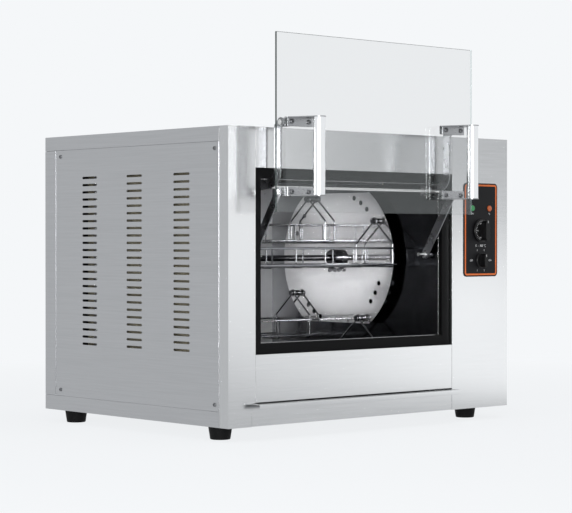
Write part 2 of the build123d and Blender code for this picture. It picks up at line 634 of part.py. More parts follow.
# Drip tray drawer and its runners.
PAN_LEFT = CAVITY_LEFT - PAN_LEDGE
PAN_RIGHT = CAVITY_RIGHT + PAN_LEDGE
pan = block(PAN_LEFT, PAN_RIGHT, FRONT + SHEET, FRONT + SHEET + PAN_LENGTH, BASE + PAN_FLOOR,
            BASE + PAN_FLOOR + PAN_HEIGHT)
pan -= block(PAN_LEFT + SHEET, PAN_RIGHT - SHEET, FRONT + 2 * SHEET, FRONT + PAN_LENGTH,
             BASE + PAN_FLOOR + SHEET, TOP)
save("drip_tray_pan", pan)
drawer = block(TRAY_LEFT, TRAY_RIGHT, FRONT, FRONT + SHEET, BASE + SEAM, BASE + DRAWER_HEIGHT)
drawer += block(TRAY_LEFT, TRAY_RIGHT, FRONT - LIP_REACH, FRONT + SHEET,
                BASE + DRAWER_HEIGHT - SHEET, BASE + DRAWER_HEIGHT)
drawer += block(TRAY_LEFT, TRAY_RIGHT, FRONT - LIP_REACH, FRONT - LIP_REACH + SHEET,
                BASE + DRAWER_HEIGHT - LIP_DROP, BASE + DRAWER_HEIGHT)
save("drip_tray_front", drawer)
LEDGE_TOP = BASE + PAN_FLOOR - FIT_GAP
RUNNER_FRONT = CAVITY_FRONT + RUNNER_SETBACK
runner = block(RUNNER_X, RUNNER_X + SHEET, RUNNER_FRONT, CAVITY_BACK, BASE + SHEET, CAVITY_FLOOR)
runner += block(PAN_RIGHT - PAN_LEDGE, RUNNER_X, RUNNER_FRONT, CAVITY_BACK, BASE + SHEET, LEDGE_TOP)
save("tray_runners", *both_sides(runner))

# Arm pivot pins: rivets in the cavity walls, with a boss, a clip and a free end.
LOWER_ARM_X = CAVITY_LEFT + LOWER_ARM_INSET
UPPER_ARM_X = CAVITY_LEFT + UPPER_ARM_INSET
EAR_X = CAVITY_LEFT + EAR_INSET
pins = []
for z, arm_x, tip in (
    (LOWER_PIVOT_Z, LOWER_ARM_X, CAVITY_LEFT + PIN_LENGTH),
    (UPPER_PIVOT_Z, UPPER_ARM_X, UPPER_ARM_X + PIN_TIP),
):
    clip_x = arm_x + ARM_SHEET + FIT_GAP
    pin = rod_x(PIN_RADIUS, CAVITY_LEFT - SHEET, tip, PIVOT_Y, z)
    pin += rod_x(PIN_BOSS_RADIUS, CAVITY_LEFT - SHEET - PIN_RIVET, CAVITY_LEFT - SHEET, PIVOT_Y, z)
    pin += rod_x(PIN_BOSS_RADIUS, CAVITY_LEFT, arm_x - FIT_GAP, PIVOT_Y, z)
    pin += rod_x(PIN_CLIP_RADIUS, clip_x, clip_x + PIN_CLIP, PIVOT_Y, z)
    pins += both_sides(pin)
save("arm_pivot_pins", *pins)

# Lower arms: straight flat bars.
HOLE = PIN_RADIUS + RUN_CLEARANCE
lower_arm = bar((PIVOT_Y, LOWER_PIVOT_Z), (HINGE_Y, LOWER_HINGE_Z), ARM_WIDTH,
                LOWER_ARM_X, LOWER_ARM_X + ARM_SHEET)
for y, z in ((PIVOT_Y, LOWER_PIVOT_Z), (HINGE_Y, LOWER_HINGE_Z)):
    lower_arm -= rod_x(HOLE, LOWER_ARM_X - CUT, LOWER_ARM_X + ARM_SHEET + CUT, y, z)
save("lower_arm_left", lower_arm)
save("lower_arm_right", across(lower_arm))

# Upper arms: goosenecks that pass under the header and rise behind the glass.
KNEE_Y = FRONT + KNEE_DEPTH
knee = FilletPolyline(
    (UPPER_ARM_X + ARM_SHEET / 2, PIVOT_Y, UPPER_PIVOT_Z),
    (UPPER_ARM_X + ARM_SHEET / 2, KNEE_Y, UPPER_PIVOT_Z + KNEE_RISE),
    (UPPER_ARM_X + ARM_SHEET / 2, KNEE_Y, UPPER_HINGE_Z - ARM_WIDTH / 2),
    radius=KNEE_RADIUS,
)
knee_start = Plane(origin=knee @ 0, x_dir=(1, 0, 0), z_dir=knee % 0)
upper_arm = sweep(knee_start * Rectangle(ARM_SHEET, ARM_WIDTH), path=knee)
upper_arm += rod_x(ARM_BOSS, UPPER_ARM_X, UPPER_ARM_X + ARM_SHEET, PIVOT_Y, UPPER_PIVOT_Z)
upper_arm += bar((KNEE_Y, UPPER_HINGE_Z - ARM_WIDTH / 2), (HINGE_Y, UPPER_HINGE_Z), ARM_WIDTH,
                 UPPER_ARM_X, UPPER_ARM_X + ARM_SHEET)
for y, z, radius in (
    (PIVOT_Y, UPPER_PIVOT_Z, HOLE),
    (HINGE_Y, UPPER_HINGE_Z, PIN_RADIUS + OPEN_PIVOT_CLEARANCE),
):
    upper_arm -= rod_x(radius, UPPER_ARM_X - CUT, UPPER_ARM_X + ARM_SHEET + CUT, y, z)
save("upper_arm_left", upper_arm)
save("upper_arm_right", across(upper_arm))

# Tie rod: joins the two upper arms so that both sides lift together.
TIE_END = UPPER_ARM_X + ARM_SHEET
TIE_Y = PIVOT_Y - TIE_ROD_FORWARD
TIE_Z = UPPER_PIVOT_Z - TIE_ROD_DROP
save("tie_rod", rod_x(TIE_ROD_RADIUS, TIE_END, 2 * MIDDLE - TIE_END, TIE_Y, TIE_Z))

# Door glass with its eight screw holes.
HANDLE_X = MIDDLE - GLASS_WIDTH / 2 + HANDLE_INSET
SCREW_HEIGHTS = (LOWER_HINGE_Z, UPPER_HINGE_Z)
SCREW_X = (HANDLE_X - DOOR_SCREW_PITCH / 2, HANDLE_X + DOOR_SCREW_PITCH / 2)
glass = block(MIDDLE - GLASS_WIDTH / 2, MIDDLE + GLASS_WIDTH / 2, GLASS_FRONT, GLASS_REAR,
              GLASS_BOTTOM, GLASS_TOP)
door_screws, cap_nuts, hinge_pins, lugs, brackets = [], [], [], [], []
for z in SCREW_HEIGHTS:
    upper = z == UPPER_HINGE_Z
    flange_low = z + PLATE_HEIGHT / 2 - FLANGE_SHEET if upper else z - PLATE_HEIGHT / 2
    plate_front = GLASS_FRONT - PLATE_SHEET
    bracket = block(HANDLE_X - PLATE_WIDTH / 2, HANDLE_X + PLATE_WIDTH / 2, plate_front, GLASS_FRONT,
                    z - PLATE_HEIGHT / 2, z + PLATE_HEIGHT / 2)
    flange = make_face(Polyline(
        (HANDLE_X - PLATE_WIDTH / 2, GLASS_FRONT),
        (HANDLE_X + PLATE_WIDTH / 2, GLASS_FRONT),
        (HANDLE_X + HANDLE_RADIUS + SHEET, HANDLE_Y),
        (HANDLE_X - HANDLE_RADIUS - SHEET, HANDLE_Y),
        close=True,
    ))
    flange += Pos(HANDLE_X, HANDLE_Y) * Circle(HANDLE_RADIUS + SHEET)
    bracket += Pos(0, 0, flange_low) * extrude(flange, amount=FLANGE_SHEET)
    lug = block(HANDLE_X - PLATE_WIDTH / 2, HANDLE_X + PLATE_WIDTH / 2, GLASS_REAR, GLASS_REAR + FLANGE_SHEET,
                z - PLATE_HEIGHT / 2, z + PLATE_HEIGHT / 2)
    ear = bar((GLASS_REAR + PLATE_HEIGHT / 2, z), (HINGE_Y, z), PLATE_HEIGHT, EAR_X, EAR_X + EAR_SHEET)
    ear += block(EAR_X, EAR_X + EAR_SHEET, GLASS_REAR, GLASS_REAR + PLATE_HEIGHT / 2,
                 z - PLATE_HEIGHT / 2, z + PLATE_HEIGHT / 2)
    lug += ear
    lug -= rod_x(HOLE, EAR_X - CUT, EAR_X + EAR_SHEET + CUT, HINGE_Y, z)
    arm_x = UPPER_ARM_X if upper else LOWER_ARM_X
    head_x = arm_x - FIT_GAP - PIN_HEAD
    nut_x = EAR_X + EAR_SHEET
    pin = rod_x(PIN_RADIUS, head_x, nut_x + PIN_NUT, HINGE_Y, z)
    pin += rod_x(PIN_HEAD_RADIUS, head_x, head_x + PIN_HEAD, HINGE_Y, z)
    pin += rod_x(PIN_HEAD_RADIUS, arm_x + ARM_SHEET + FIT_GAP, EAR_X, HINGE_Y, z)
    pin += rod_x(PIN_HEAD_RADIUS, nut_x, nut_x + PIN_NUT, HINGE_Y, z)
    hinge_pins += both_sides(pin)
    for x in SCREW_X:
        bore = DOOR_SCREW_RADIUS + HOLE_CLEARANCE
        nut_start = GLASS_REAR + FLANGE_SHEET
        thread_end = nut_start + NUT_LENGTH - NUT_CAP
        bracket -= rod_y(bore, plate_front - CUT, GLASS_FRONT + CUT, x, z)
        lug -= rod_y(bore, GLASS_REAR - CUT, nut_start + CUT, x, z)
        for side in (x, 2 * MIDDLE - x):
            glass -= rod_y(bore, GLASS_FRONT - CUT, GLASS_REAR + CUT, side, z)
        head = rod_y(DOOR_SCREW_HEAD, plate_front - DOOR_SCREW_HEAD_HEIGHT, plate_front, x, z)
        head = fillet(head.edges().sort_by(Axis.Y)[:1], DOOR_SCREW_ROUND)
        slot = Box(DOOR_CROSS_LENGTH, 2 * DOOR_CROSS_DEPTH, DOOR_CROSS_WIDTH)
        cross = Pos(x, plate_front - DOOR_SCREW_HEAD_HEIGHT, z)
        head -= [cross * slot, cross * Rot(0, 90, 0) * slot]
        head += rod_y(DOOR_SCREW_RADIUS, plate_front, thread_end - THREAD_GAP, x, z)
        door_screws += both_sides(head)
        hexagon = Plane.XZ.offset(-nut_start) * Pos(x, z) * RegularPolygon(NUT_RADIUS, 6)
        nut = extrude(hexagon, amount=-NUT_LENGTH)
        nut -= rod_y(bore, nut_start - CUT, thread_end, x, z)
        cap_nuts += both_sides(nut)
    brackets += both_sides(bracket)
    lugs += both_sides(lug)
save("door_glass", glass)
save("handle_brackets", *brackets)
save("hinge_lugs", *lugs)
save("door_screws", *door_screws)
save("door_cap_nuts", *cap_nuts)
save("door_hinge_pins", *hinge_pins)
HANDLE_LOW = LOWER_HINGE_Z - PLATE_HEIGHT / 2 + FLANGE_SHEET
HANDLE_HIGH = UPPER_HINGE_Z + PLATE_HEIGHT / 2 - FLANGE_SHEET
handle = rod_z(HANDLE_RADIUS, HANDLE_LOW, HANDLE_HIGH, HANDLE_X, HANDLE_Y)
handle -= rod_z(HANDLE_RADIUS - HANDLE_WALL, HANDLE_LOW - CUT, HANDLE_HIGH + CUT, HANDLE_X, HANDLE_Y)
save("door_handle_left", handle)
save("door_handle_right", across(handle))

# Rotor: shaft, two mirror-polished discs with clamped hubs, and the basket pins.
BORE_END = MOTOR_FACE + GEARBOX_LENGTH - GEARBOX_WALL
shaft_left = 2 * MIDDLE - (BUSH_X + SHAFT_PAST_WALL)
save("rotor_shaft", rod_x(SHAFT_RADIUS, shaft_left, BORE_END - SHAFT_END_GAP, AXIS_Y, AXIS_Z))


def on_circle(radius, angle):
    """The Y and Z of a point on the disc, its angle counted up from the front."""
    return AXIS_Y - radius * cos(radians(angle)), AXIS_Z + radius * sin(radians(angle))


PIVOT_ANGLES = [FIRST_PIVOT_ANGLE + 360 / BASKETS * i for i in range(BASKETS)]
DISC_BACK = DISC_FACE + DISC_SHEET
disc = rod_x(DISC_RADIUS, DISC_FACE, DISC_BACK, AXIS_Y, AXIS_Z)
disc &= Pos(DISC_FACE, AXIS_Y, AXIS_Z) * Box(4 * DISC_SHEET, 2 * DISC_RADIUS + CUT, 2 * DISC_FLAT)
disc -= rod_x(SHAFT_BORE, DISC_FACE - CUT, DISC_BACK + CUT, AXIS_Y, AXIS_Z)
basket_pins = []
for pivot in PIVOT_ANGLES:
    y, z = on_circle(PIVOT_CIRCLE, pivot)
    disc -= rod_x(BASKET_PIN_RADIUS + HOLE_CLEARANCE, DISC_FACE - CUT, DISC_BACK + CUT, y, z)
    for step in DISC_HOLE_ANGLES:
        hole = on_circle(DISC_HOLE_CIRCLE, pivot + step)
        disc -= rod_x(DISC_HOLE_RADIUS, DISC_FACE - CUT, DISC_BACK + CUT, *hole)
    pin_end = DISC_FACE - BASKET_PIN_LENGTH
    pin = rod_x(BASKET_PIN_RADIUS, pin_end, DISC_BACK + BASKET_PIN_RIVET, y, z)
    pin += rod_x(BASKET_PIN_COLLAR, pin_end, pin_end + BASKET_PIN_HEAD, y, z)
    pin += rod_x(BASKET_PIN_COLLAR, DISC_FACE - BASKET_PIN_SHOULDER, DISC_FACE, y, z)
    pin += rod_x(BASKET_PIN_COLLAR, DISC_BACK, DISC_BACK + BASKET_PIN_RIVET, y, z)
    basket_pins += both_sides(pin)
save("rotor_disc_right", disc)
save("rotor_disc_left", across(disc))
save("basket_pins", *basket_pins)
HUB_SCREW_X = DISC_FACE - HUB_SCREW_FROM_DISC
hub = rod_x(HUB_RADIUS, DISC_FACE - HUB_LENGTH, DISC_FACE, AXIS_Y, AXIS_Z)
hub = fillet(hub.edges().sort_by(Axis.X)[:1], HUB_ROUND)
hub -= rod_x(SHAFT_BORE, DISC_FACE - HUB_LENGTH - CUT, DISC_FACE + CUT, AXIS_Y, AXIS_Z)
hub -= rod_z(HUB_SCREW_RADIUS + HOLE_CLEARANCE, AXIS_Z - HUB_RADIUS - CUT, AXIS_Z, HUB_SCREW_X, AXIS_Y)
save("disc_hubs", *both_sides(hub))
hub_low = AXIS_Z - HUB_RADIUS
thumb = rod_z(HUB_SCREW_RADIUS, hub_low - HUB_SCREW_NECK, AXIS_Z - SHAFT_RADIUS - HOLE_CLEARANCE,
              HUB_SCREW_X, AXIS_Y)
thumb += rod_z(HUB_SCREW_NECK, hub_low - HUB_SCREW_NECK - 2, hub_low - 1, HUB_SCREW_X, AXIS_Y)
wing = Pos(HUB_SCREW_X, AXIS_Y, hub_low - THUMB_DROP) * Rot(90, 0, 0)
thumb += wing * extrude(Rectangle(THUMB_WIDTH, THUMB_HEIGHT), amount=THUMB_SHEET, both=True)
for x in (-THUMB_DROP, THUMB_DROP):
    thumb += wing * Pos(x, -1, 0) * extrude(Circle(THUMB_LOBE), amount=THUMB_SHEET, both=True)
save("hub_thumb_screws", *both_sides(thumb))
collar_x = BUSH_X + BUSH_FLANGE_SHEET + BUSH_BARREL + FIT_GAP
collar = rod_x(COLLAR_RADIUS, collar_x, collar_x + COLLAR_LENGTH, AXIS_Y, AXIS_Z)
collar -= rod_x(SHAFT_BORE, collar_x - CUT, collar_x + COLLAR_LENGTH + CUT, AXIS_Y, AXIS_Z)
save("shaft_collars", *both_sides(collar))

# Baskets: welded wire trays, each hung by an eye at both ends.
BASKET_END = DISC_FACE - BASKET_END_GAP - WIRE_RADIUS
HANGER_X = DISC_FACE - HANGER_FROM_DISC
RIM = -BASKET_DROP
BOTTOM_RAIL = RIM - BASKET_DEPTH
INSIDE = BASKET_WIDTH / 2 - WIRE_RADIUS - CROSS_WIRE_RADIUS + WELD
CROSS_WIRE_X = BASKET_END - BASKET_CORNER - FIRST_CROSS_WIRE
EYE_WIRE = WIRE_RADIUS + EYE_THICKER
EYE = BASKET_PIN_RADIUS + FIT_GAP + EYE_WIRE


def basket():
    """One basket, its pivot on the X axis."""
    half = BASKET_WIDTH / 2
    start = 2 * MIDDLE - BASKET_END
    rim = Pos(MIDDLE, 0, RIM) * RectangleRounded(BASKET_END - start, BASKET_WIDTH, BASKET_CORNER).wire()
    wires = [sweep(Plane(origin=rim @ 0, z_dir=rim % 0) * Circle(WIRE_RADIUS), path=rim)]
    for y in (-half, half):
        wires.append(rod_x(WIRE_RADIUS, start, BASKET_END, y, BOTTOM_RAIL))
    floor = BOTTOM_RAIL - BASKET_BEND
    for i in range(CROSS_WIRES):
        x = 2 * MIDDLE - CROSS_WIRE_X + 2 * (CROSS_WIRE_X - MIDDLE) * i / (CROSS_WIRES - 1)
        top = RIM + CROSS_WIRE_RADIUS - WELD
        hoop = [(x, -INSIDE, top), (x, -INSIDE, floor), (x, INSIDE, floor), (x, INSIDE, top)]
        wires.append(wire(hoop, CROSS_WIRE_RADIUS, BASKET_BEND))
    for i in range(FLOOR_WIRES):
        y = BASKET_WIDTH * ((i + 1) / (FLOOR_WIRES + 1) - 0.5)
        wires.append(rod_x(CROSS_WIRE_RADIUS, start, BASKET_END, y, floor + 2 * CROSS_WIRE_RADIUS - WELD))
    for x in (2 * MIDDLE - HANGER_X, HANGER_X):
        wires.append(Pos(x, 0, 0) * Rot(0, 90, 0) * Torus(EYE, EYE_WIRE))
        leg = half - 2 * WIRE_RADIUS + WELD
        hanger = [(x, 0.8 * EYE, -0.6 * EYE), (x, leg, RIM + 2 * BASKET_BEND), (x, leg, floor)]
        hanger += [(x, -y, z) for x, y, z in reversed(hanger)]
        wires.append(wire(hanger, WIRE_RADIUS, BASKET_BEND))
    return wires[0].fuse(*wires[1:])


tray = basket()
for number, angle in enumerate(PIVOT_ANGLES, start=1):
    y, z = on_circle(PIVOT_CIRCLE, angle)
    save(f"basket_{number}", Pos(0, y, z) * tray)

# Shaft bushes: flanged, with a spigot through each cavity wall.
barrel_x = BUSH_X + BUSH_FLANGE_SHEET
bush = rod_x(BUSH_SPIGOT, CAVITY_RIGHT, barrel_x, AXIS_Y, AXIS_Z)
bush += rod_x(BUSH_FLANGE, BUSH_X, barrel_x, AXIS_Y, AXIS_Z)
bush += rod_x(BUSH_BARREL, barrel_x, barrel_x + BUSH_BARREL, AXIS_Y, AXIS_Z)
bush -= rod_x(SHAFT_BORE, CAVITY_RIGHT - CUT, barrel_x + BUSH_BARREL + CUT, AXIS_Y, AXIS_Z)
save("shaft_bushes", *both_sides(bush))

# Gear motor on its bridge bracket, in the compartment behind the controls.
BRACKET_Y = (AXIS_Y - BRACKET_WIDTH / 2, AXIS_Y + BRACKET_WIDTH / 2)
BRACKET_Z = (AXIS_Z - BRACKET_HEIGHT / 2, AXIS_Z + BRACKET_HEIGHT / 2)
bracket = block(BUSH_X, MOTOR_FACE, *BRACKET_Y, *BRACKET_Z)
bracket -= block(BUSH_X - CUT, MOTOR_FACE - BRACKET_SHEET, *BRACKET_Y,
                 BRACKET_Z[0] + BRACKET_SHEET, BRACKET_Z[1] - BRACKET_SHEET)
bracket += block(BUSH_X, BUSH_X + BRACKET_SHEET, *BRACKET_Y,
                 BRACKET_Z[1] - BRACKET_SHEET, BRACKET_Z[1] + BRACKET_FOOT)
bracket += block(BUSH_X, BUSH_X + BRACKET_SHEET, *BRACKET_Y,
                 BRACKET_Z[0] - BRACKET_FOOT, BRACKET_Z[0] + BRACKET_SHEET)
bracket -= rod_x(BRACKET_HOLE, MOTOR_FACE - BRACKET_SHEET - CUT, MOTOR_FACE + CUT, AXIS_Y, AXIS_Z)
save("motor_bracket", bracket)
GEARBOX_END = MOTOR_FACE + GEARBOX_LENGTH
motor = block(MOTOR_FACE, GEARBOX_END, AXIS_Y - GEARBOX / 2, AXIS_Y + GEARBOX / 2,
              AXIS_Z - GEARBOX / 2, AXIS_Z + GEARBOX / 2)
motor = fillet(motor.edges().filter_by(Axis.X), GEARBOX_CORNER)
motor += rod_x(MOTOR_RADIUS, GEARBOX_END, GEARBOX_END + MOTOR_LENGTH, AXIS_Y, AXIS_Z)
motor -= rod_x(SHAFT_BORE, MOTOR_FACE - CUT, BORE_END, AXIS_Y, AXIS_Z)
save("gear_motor", motor)

# Control panel plate, lamps, knobs and the parts behind them.
plate = extrude(Plane.XZ.offset(-FRONT) * Pos(PANEL_X, BASE + PANEL_CENTRE_HEIGHT)
                * RectangleRounded(PANEL_WIDTH, PANEL_HEIGHT, PANEL_CORNER), amount=PANEL_SHEET)
for height in (KNOB_HEIGHT, SELECTOR_HEIGHT):
    plate -= rod_y(SPINDLE_HOLE, PLATE_FACE - CUT, FRONT + CUT, PANEL_X, BASE + height)
for x, colour in zip(LAMP_X, ("green", "orange")):
    plate -= rod_y(LAMP_HOLE, PLATE_FACE - CUT, FRONT + CUT, x, BASE + LAMP_HEIGHT)
    lamp = rod_y(LAMP_RADIUS, PLATE_FACE - LAMP_DOME, PLATE_FACE, x, BASE + LAMP_HEIGHT)
    lamp = fillet(lamp.edges().sort_by(Axis.Y)[:1], LAMP_ROUND)
    lamp += rod_y(LAMP_BODY_RADIUS, PLATE_FACE, FRONT + LAMP_DEPTH, x, BASE + LAMP_HEIGHT)
    save(f"lamp_{colour}", lamp)
save("control_panel", plate)


def knob(height, radius, skirt, grip_length, grip_width, grip_height):
    """A turning knob with a round skirt, a bar grip and its spindle."""
    z = BASE + height
    face = PLATE_FACE - FIT_GAP
    body = rod_y(radius, face - skirt, face, PANEL_X, z)
    body = chamfer(body.edges().sort_by(Axis.Y)[:1], skirt * KNOB_BEVEL)
    grip = Pos(PANEL_X, 0, z) * Rot(90, 0, 0) * Rot(0, 0, 90) * SlotOverall(grip_length, grip_width)
    body += Pos(0, face - skirt + 1, 0) * extrude(grip, amount=grip_height + 1)
    body += rod_y(SPINDLE_RADIUS, face, FRONT + SPINDLE_DEPTH, PANEL_X, z)
    return body


save("thermostat_knob", knob(KNOB_HEIGHT, KNOB_RADIUS, skirt=7, grip_length=2 * KNOB_RADIUS - 6,
                             grip_width=13, grip_height=15))
save("selector_knob", knob(SELECTOR_HEIGHT, SELECTOR_RADIUS, skirt=4, grip_length=2 * SELECTOR_RADIUS - 2,
                           grip_width=10, grip_height=13))


def switch_body(height, size, depth):
    """The square case behind a knob, with a bore for its spindle."""
    z = BASE + height
    case = block(PANEL_X - size / 2, PANEL_X + size / 2, FRONT + SHEET, FRONT + SHEET + depth,
                 z - size / 2, z + size / 2)
    return case - rod_y(SPINDLE_BORE, FRONT, FRONT + SPINDLE_DEPTH + CUT, PANEL_X, z)


bulb_front = BULB_Y - BULB_LENGTH / 2
capillary_z = BASE + KNOB_HEIGHT + CAPILLARY_ABOVE_KNOB
capillary = wire([
    (PANEL_X, FRONT + THERMOSTAT_DEPTH, capillary_z),
    (PANEL_X, CAPILLARY_Y, capillary_z),
    (PANEL_X, CAPILLARY_Y, BULB_Z),
    (BULB_X, CAPILLARY_Y, BULB_Z),
    (BULB_X, bulb_front + CUT, BULB_Z),
], CAPILLARY_RADIUS, CAPILLARY_BEND)
thermostat = switch_body(KNOB_HEIGHT, THERMOSTAT_SIZE, THERMOSTAT_DEPTH) + capillary
thermostat += rod_y(BULB_RADIUS, bulb_front, bulb_front + BULB_LENGTH, BULB_X, BULB_Z)
save("thermostat_body", thermostat)
save("selector_switch", switch_body(SELECTOR_HEIGHT, SWITCH_SIZE, SWITCH_DEPTH))

# Mains terminal block on the base, and the gland in the back panel.
terminal_y = BACK - FOOT_INSET_REAR - TERMINAL_BEFORE_FOOT
terminal = block(GLAND_X - TERMINAL_LENGTH / 2, GLAND_X + TERMINAL_LENGTH / 2,
                 terminal_y - TERMINAL_WIDTH / 2, terminal_y + TERMINAL_WIDTH / 2,
                 BASE + SHEET, BASE + TERMINAL_HEIGHT)
for pole in range(TERMINAL_POLES):
    x = GLAND_X + (pole - (TERMINAL_POLES - 1) / 2) * TERMINAL_PITCH
    for y in (terminal_y - TERMINAL_WIDTH / 4, terminal_y + TERMINAL_WIDTH / 4):
        terminal -= rod_z(TERMINAL_WELL_RADIUS, BASE + TERMINAL_WELL_FLOOR,
                          BASE + TERMINAL_HEIGHT + CUT, x, y)
save("terminal_block", terminal)
hexagon = Plane.XZ.offset(-BACK) * Pos(GLAND_X, GLAND_Z) * RegularPolygon(GLAND_HEX, 6)
gland = extrude(hexagon, amount=-GLAND_HEX_LENGTH)
gland += rod_y(GLAND_DOME, BACK + GLAND_HEX_LENGTH, BACK + GLAND_REACH, GLAND_X, GLAND_Z)
gland = chamfer(gland.edges().filter_by(GeomType.CIRCLE).sort_by(Axis.Y)[-1:], GLAND_CHAMFER)
gland += rod_y(GLAND_STEM, BACK - GLAND_STEM_LENGTH, BACK, GLAND_X, GLAND_Z)
nut_back = BACK - 2 * SHEET
hexagon = Plane.XZ.offset(GLAND_NUT_LENGTH - nut_back) * Pos(GLAND_X, GLAND_Z) * RegularPolygon(GLAND_NUT, 6)
gland += extrude(hexagon, amount=-GLAND_NUT_LENGTH)
gland -= rod_y(GLAND_BORE, nut_back - GLAND_STEM_LENGTH, BACK + GLAND_REACH + CUT, GLAND_X, GLAND_Z)
save("cable_gland", gland)
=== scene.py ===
import json
from math import cos, pi, radians, sin

import bpy
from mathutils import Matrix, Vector


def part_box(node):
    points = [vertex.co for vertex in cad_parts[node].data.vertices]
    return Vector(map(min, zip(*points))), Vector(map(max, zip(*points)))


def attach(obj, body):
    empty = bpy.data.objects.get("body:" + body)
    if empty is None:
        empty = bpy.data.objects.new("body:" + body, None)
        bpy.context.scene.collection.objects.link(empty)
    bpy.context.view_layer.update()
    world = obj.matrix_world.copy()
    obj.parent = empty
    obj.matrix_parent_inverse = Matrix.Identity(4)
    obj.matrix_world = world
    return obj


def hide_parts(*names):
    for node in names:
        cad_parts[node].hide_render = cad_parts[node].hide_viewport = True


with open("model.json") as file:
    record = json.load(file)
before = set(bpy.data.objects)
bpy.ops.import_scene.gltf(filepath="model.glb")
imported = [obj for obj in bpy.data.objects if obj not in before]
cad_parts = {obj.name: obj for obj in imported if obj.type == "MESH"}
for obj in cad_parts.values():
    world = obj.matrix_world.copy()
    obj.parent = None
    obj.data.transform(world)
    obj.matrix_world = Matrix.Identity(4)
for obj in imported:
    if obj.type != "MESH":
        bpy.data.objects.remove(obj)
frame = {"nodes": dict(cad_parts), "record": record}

bpy.ops.object.select_all(action="DESELECT")
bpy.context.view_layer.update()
MM = 0.001


# Cabinet: folded stainless sheets, 1.2 mm thick, satin ground along one direction.
# The grinding gives soft streaks along the grain and a broad highlight across it.
# Each sheet is a copy of its CAD shape with its edges dressed, as a deburred blank has.
def linear(code):
    """An sRGB hex colour as linear values with full alpha."""
    channels = [int(code[i:i + 2], 16) / 255 for i in (1, 3, 5)]
    return [c / 12.92 if c <= 0.04045 else ((c + 0.055) / 1.055) ** 2.4 for c in channels] + [1.0]


def node(tree, kind, settings=None, links=None):
    """Adds one node, sets its inputs or properties, and links its inputs to other outputs."""
    added = tree.nodes.new(kind)
    for key, value in (settings or {}).items():
        if isinstance(key, int) or key in added.inputs:
            added.inputs[key].default_value = value
        else:
            setattr(added, key, value)
    for key, output in (links or {}).items():
        tree.links.new(output, added.inputs[key])
    return added


def new_finish(name, code, metallic, roughness, **sockets):
    """A material with its shader's own values set."""
    finish = bpy.data.materials.new(name)
    finish.use_nodes = True
    shader = finish.node_tree.nodes["Principled BSDF"]
    shader.inputs["Base Color"].default_value = linear(code)
    shader.inputs["Metallic"].default_value = metallic
    shader.inputs["Roughness"].default_value = roughness
    for key, value in sockets.items():
        shader.inputs[key.replace("_", " ")].default_value = value
    return finish


# A noise pattern keeps mostly between these values, so they are spread over a finish's whole range.
NOISE_LOW, NOISE_HIGH = 0.3, 0.7


def varied(finish, scale, stretch=(1, 1, 1), rough=None, tint=None, bump=0.0, depth=0.0001, detail=3.0):
    """Lets one noise pattern vary a finish's roughness, colour and surface height."""
    tree = finish.node_tree
    shader = tree.nodes["Principled BSDF"]
    place = node(tree, "ShaderNodeTexCoord")
    turned = node(tree, "ShaderNodeMapping", {"Scale": stretch}, {"Vector": place.outputs["Object"]})
    grain = node(tree, "ShaderNodeTexNoise", {"Scale": scale, "Detail": detail, "Roughness": 0.6},
                 {"Vector": turned.outputs["Vector"]})
    if rough:
        spread = node(tree, "ShaderNodeMapRange", {"From Min": NOISE_LOW, "From Max": NOISE_HIGH,
                                                   "To Min": rough[0], "To Max": rough[1]},
                      {"Value": grain.outputs["Fac"]})
        tree.links.new(spread.outputs["Result"], shader.inputs["Roughness"])
    if tint:
        ramp = node(tree, "ShaderNodeValToRGB", {}, {"Fac": grain.outputs["Fac"]})
        ramp.color_ramp.elements[0].position = NOISE_LOW
        ramp.color_ramp.elements[1].position = NOISE_HIGH
        ramp.color_ramp.elements[0].color = linear(tint[0])
        ramp.color_ramp.elements[1].color = linear(tint[1])
        tree.links.new(ramp.outputs["Color"], shader.inputs["Base Color"])
    if bump:
        raised = node(tree, "ShaderNodeBump", {"Strength": bump, "Distance": depth},
                      {"Height": grain.outputs["Fac"]})
        tree.links.new(raised.outputs["Normal"], shader.inputs["Normal"])


BODIES = frame["record"]["behaviour"]["bodies"]


def body_of(name):
    """The moving body that a CAD node belongs to."""
    return next(body for body, names in BODIES.items() if name in names)


def dress(finish, *names):
    """Gives CAD nodes that keep their own shape a finish."""
    for name in names:
        for slot in frame["nodes"][name].material_slots:
            slot.material = finish


def only(piece):
    """Leaves one object selected and active."""
    bpy.ops.object.select_all(action="DESELECT")
    piece.select_set(True)
    bpy.context.view_layer.objects.active = piece


SMOOTH_BELOW, ROUNDED_ABOVE = radians(35), radians(40)
SAME_POINT, SAME_PLANE = 0.002 * MM, radians(0.5)


def shade(piece):
    """Smooth shading across shallow angles, crisp at folds, with large flats kept flat."""
    only(piece)
    bpy.ops.object.shade_smooth_by_angle(angle=SMOOTH_BELOW)
    bpy.ops.object.modifier_add(type="WEIGHTED_NORMAL")
    piece.modifiers[-1].keep_sharp = True
    piece.modifiers[-1].weight = 100
    bpy.ops.object.modifier_apply(modifier=piece.modifiers[-1].name)


